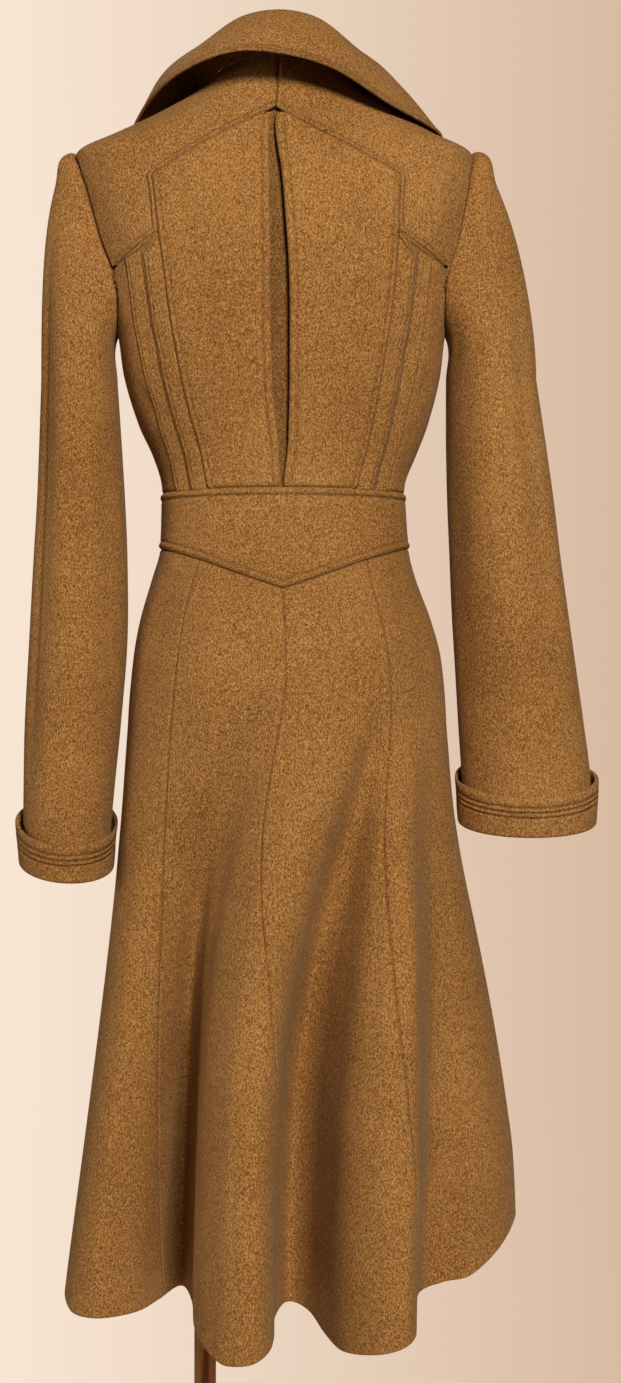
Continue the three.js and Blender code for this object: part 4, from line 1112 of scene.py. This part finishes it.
# Short pulls across the sleeves: angle, level, second angle, second level, width and depth
SLEEVE_PULLS = {
    "left": [
        (60, 1010, 110, 985, 9, -1.2), (80, 960, 130, 990, 8, -1.0), (50, 900, 95, 880, 9, -1.0),
        (100, 1150, 70, 1215, 10, -1.4), (120, 1180, 150, 1120, 9, -1.4), (250, 1000, 300, 970, 10, -1.3),
        (240, 930, 290, 950, 9, -1.1), (60, 800, 100, 770, 10, -1.0),
        (45, 1290, 44, 700, 5, 1.5), (34, 1290, 33, 700, 7, -1.6),
    ],
    "right": [
        (64, 1000, 112, 1020, 9, -1.2), (90, 940, 134, 960, 8, -1.1), (56, 880, 100, 900, 9, -1.0),
        (96, 1160, 72, 1220, 10, -1.5), (124, 1170, 152, 1110, 9, -1.4), (245, 990, 296, 960, 10, -1.3),
        (250, 920, 290, 935, 9, -1.0), (60, 820, 104, 800, 10, -1.0),
    ],
}
for side_name, side in SIDES:
    cap_levels = np.concatenate([[1, 0.996, 0.99, 0.98], np.linspace(0.965, 0, 44)])
    levels = np.concatenate([cap_levels, np.linspace(0, -1, 124)[1:]])
    turns, levels = np.meshgrid(np.linspace(0, 360, 109), levels)
    sleeve_base = sleeve_surface(side_name, turns, levels)
    tucked = sleeve_base[:1] + unit(sleeve_base[:1] - sleeve_base[4:5]) * 2.5
    tucked[..., 0] -= side * 2.8
    sleeve_base = np.concatenate([tucked, sleeve_base])
    turns = np.vstack([turns[:1], turns])
    levels = np.vstack([levels[:1], levels])
    head = np.exp(-((wrapped(turns) / 48) ** 2)) * np.exp(-(((levels - 0.9) / 0.09) ** 2))
    sleeve_base[:, -1] = sleeve_base[:, 0]
    sleeve_out = tube_out(sleeve_base) * -side
    pulls = np.zeros(turns.shape)
    for turn_1, z_1, turn_2, z_2, wide, deep in SLEEVE_PULLS[side_name]:
        mark = (turn_1 / 2, z_1, turn_2 / 2, z_2, wide, deep)
        pulls += soft_folds(turns / 2, sleeve_base[..., 2], [mark])
    pulls += SLEEVE_HEAD[side_name] * head * smooth((1 - levels) / 0.03)
    pulls[:, -1] = pulls[:, 0]
    sewn_piece(
        f"sleeve_{side_name}", sleeve_base, sleeve_out, np.zeros(turns.shape),
        [(sleeve_base[1], "seam", [])],
        wrap=True, folds=pulls,
    )

# Cuffs
# The cuffs are wide bands of the wool turned back over the sleeve ends. They stand a little
# away from the sleeve at the top and have three rows of sunk stitching below that edge.
for side_name, side in SIDES:
    height = CUFFS[side_name][3]
    # The cuff's section: how far out from the sleeve and how far up from its foot
    profile = np.array([
        (-2.0, 4.2), (-2, 0.9), (-1.2, 0.15), (0.5, 0), (2.6, 0), (3.7, 0.8), (4.2, 1.8),
        (4.5, 5), (5.0, 12), (5.4, 18), (5.9, 25), (6.3, 32), (6.6, height - 3), (6.6, height - 1),
        (6.0, height), (4.4, height), (3.7, height - 1), (3.2, height - 6), (2.4, 22), (1.4, 12), (0.8, 7),
    ])
    sizes = np.concatenate([[0], np.cumsum(np.linalg.norm(np.diff(profile, axis=0), axis=1))])
    places = np.linspace(0, sizes[-1], 76)
    outs = np.interp(places, sizes, profile[:, 0])
    ups = np.interp(places, sizes, profile[:, 1])
    turns, out = np.meshgrid(np.linspace(0, 360, 145), outs)
    _, up = np.meshgrid(np.linspace(0, 360, 145), ups)
    cuff_base = sleeve_section(side_name, turns, sleeve_foot(side_name, turns) + up)
    cuff_base[..., 0] += np.cos(np.radians(turns)) * out
    cuff_base[..., 1] += np.sin(np.radians(turns)) * out
    above_roll = np.maximum(0, up - 8) / (height - 8)
    cuff_base[..., 2] -= above_roll * 7 * np.sin(np.radians(turns))
    cuff_base[..., 0] *= side
    cuff_base[:, -1] = cuff_base[:, 0]
    cuff_out = tube_out(cuff_base) * side
    top_row = int(np.argmax(ups > height - 1.2))
    wave = 0.5 * np.sin(np.radians(turns * 3 + 40)) + 0.35 * np.sin(np.radians(turns * 5 + 100))
    sewn_piece(
        f"cuff_{side_name}", cuff_base, cuff_out, np.zeros(turns.shape),
        [(cuff_base[top_row], "none", [8.5, 13, 17.5])],
        thick=1.6, wrap=True, folds=wave * smooth((up - 10) / 20) * (out > 4.2),
    )

# Waistband and belt
# A stiffened band with a point at the centre back is set in at the waist, and its belt ends
# come out of the side seams to meet in a slide buckle at the front.
band_side = 958
band_point = 919
band_lift = 1.2
band_knee = 943
knee_angle = back_angle(66, np.full(1, float(band_knee)))[0]


def band_foot(theta):
    turn = np.abs(wrapped(theta))
    across = np.sin(np.radians(turn))
    knee = math.sin(math.radians(knee_angle))
    inner = blend(band_point, band_knee, across / knee)
    outer = blend(band_knee, band_side, (across - knee) / (1 - knee))
    return np.where(turn >= side_seam, band_side, np.where(turn <= knee_angle, inner, outer))


def waistband_place(s, t):
    theta = 2 * side_seam * s - side_seam
    return theta, blend(band_foot(theta), band_top, t)


coat_piece(
    "waistband_back", waistband_place, 2.2,
    [("high", "fold", [6.8]), ("low", "fold", [6.8]), ("start", "seam", []), ("end", "seam", [])],
    band_lift, thick=3,
)
# How far the right belt end stands off the body over the left end and the buckle's bar, by angle
BELT_OVER = np.array([
    (90, 1.2), (150, 1.2), (162, 4.4), (170, 4.4), (176, 7.6), (184, 7.6), (190, 4.4), (214, 4.4),
], float)


def belt_left_place(s, t):
    return blend(side_seam, 190, s), blend(band_side, band_top, t)


def belt_right_place(s, t):
    theta = blend(side_seam, 223, s)
    taper = ((band_top - band_side) / 2 - 2) * smooth((theta - 208) / 22)
    return theta, blend(band_side + 0.6 + taper, band_top - 0.6 - taper, t)


coat_piece(
    "belt_left", belt_left_place, 2.4,
    [("high", "fold", [6.8]), ("low", "fold", [6.8]), ("start", "seam", []), ("end", "fold", [])],
    band_lift, thick=3,
)
coat_piece(
    "belt_right", belt_right_place, 2.4,
    [("high", "fold", [6.8]), ("low", "fold", [6.8]), ("start", "seam", []), ("end", "fold", [])],
    lambda s, t, theta, z: np.interp(theta, BELT_OVER[:, 0], BELT_OVER[:, 1]),
    side=-1, thick=2.6,
)

# Skirt
# Eight gores run out from the waistband into deep uneven flutes, and the right front laps
# over the left. Plain seams join them, and the hem is turned up inside.
skirt_lap_turn = 6
bowed_seam = 40
seam_bow = 5
GORES = [
    ("skirt_back", 0, 40), ("skirt_side_back", 40, 90), ("skirt_side_front", 90, 140),
    ("skirt_front", 140, 180 + skirt_lap_turn),
]
for side_name, side in SIDES:
    for gore, first_turn, last_turn in GORES:
        under = gore == "skirt_front" and side_name == "left"

        def gore_place(s, t, first_turn=first_turn, last_turn=last_turn, side=side):
            theta = blend(first_turn, last_turn, s)
            if side > 0:
                near_seam = np.exp(-(((theta - bowed_seam) / 16) ** 2))
                theta = theta + seam_bow * np.sin(np.pi * t ** 0.75) * near_seam
            return theta, blend(band_foot(theta), hem_level(side * theta), t)

        def gore_lift(s, t, theta, z, under=under):
            return under_lap(theta) if under else 0 * z

        last_kind = "fold" if gore == "skirt_front" else "gore"
        coat_piece(
            f"{gore}_{side_name}", gore_place, 4.6,
            [("start", "gore", []), ("end", last_kind, []), ("high", "free", []), ("low", "seam", [])],
            gore_lift, side=side,
        )

# Buckle and buttons
# The belt slides through a curved horn-look buckle with a middle bar, and five dished buttons
# of the same horn look are sewn down the centre front.
horn, tree, shader = new_material("horn_look", (0.12, 0.06, 0.03), 0.3)
shader.inputs["Coat Weight"].default_value = 0.4
shader.inputs["Coat Roughness"].default_value = 0.15
horn_streaks = noise(tree, 70, 4, 0.6, stretch=(1, 1, 0.25))
horn_color = ramp(tree, horn_streaks, [
    (0.3, (0.05, 0.022, 0.012)),
    (0.5, (0.13, 0.06, 0.028)),
    (0.72, (0.30, 0.17, 0.08)),
])
tree.links.new(horn_color, shader.inputs["Base Color"])
for node_name in ("belt_buckle", "button_1", "button_2", "button_3", "button_4", "button_5"):
    for material_slot in bpy.data.objects[node_name].material_slots:
        material_slot.material = horn
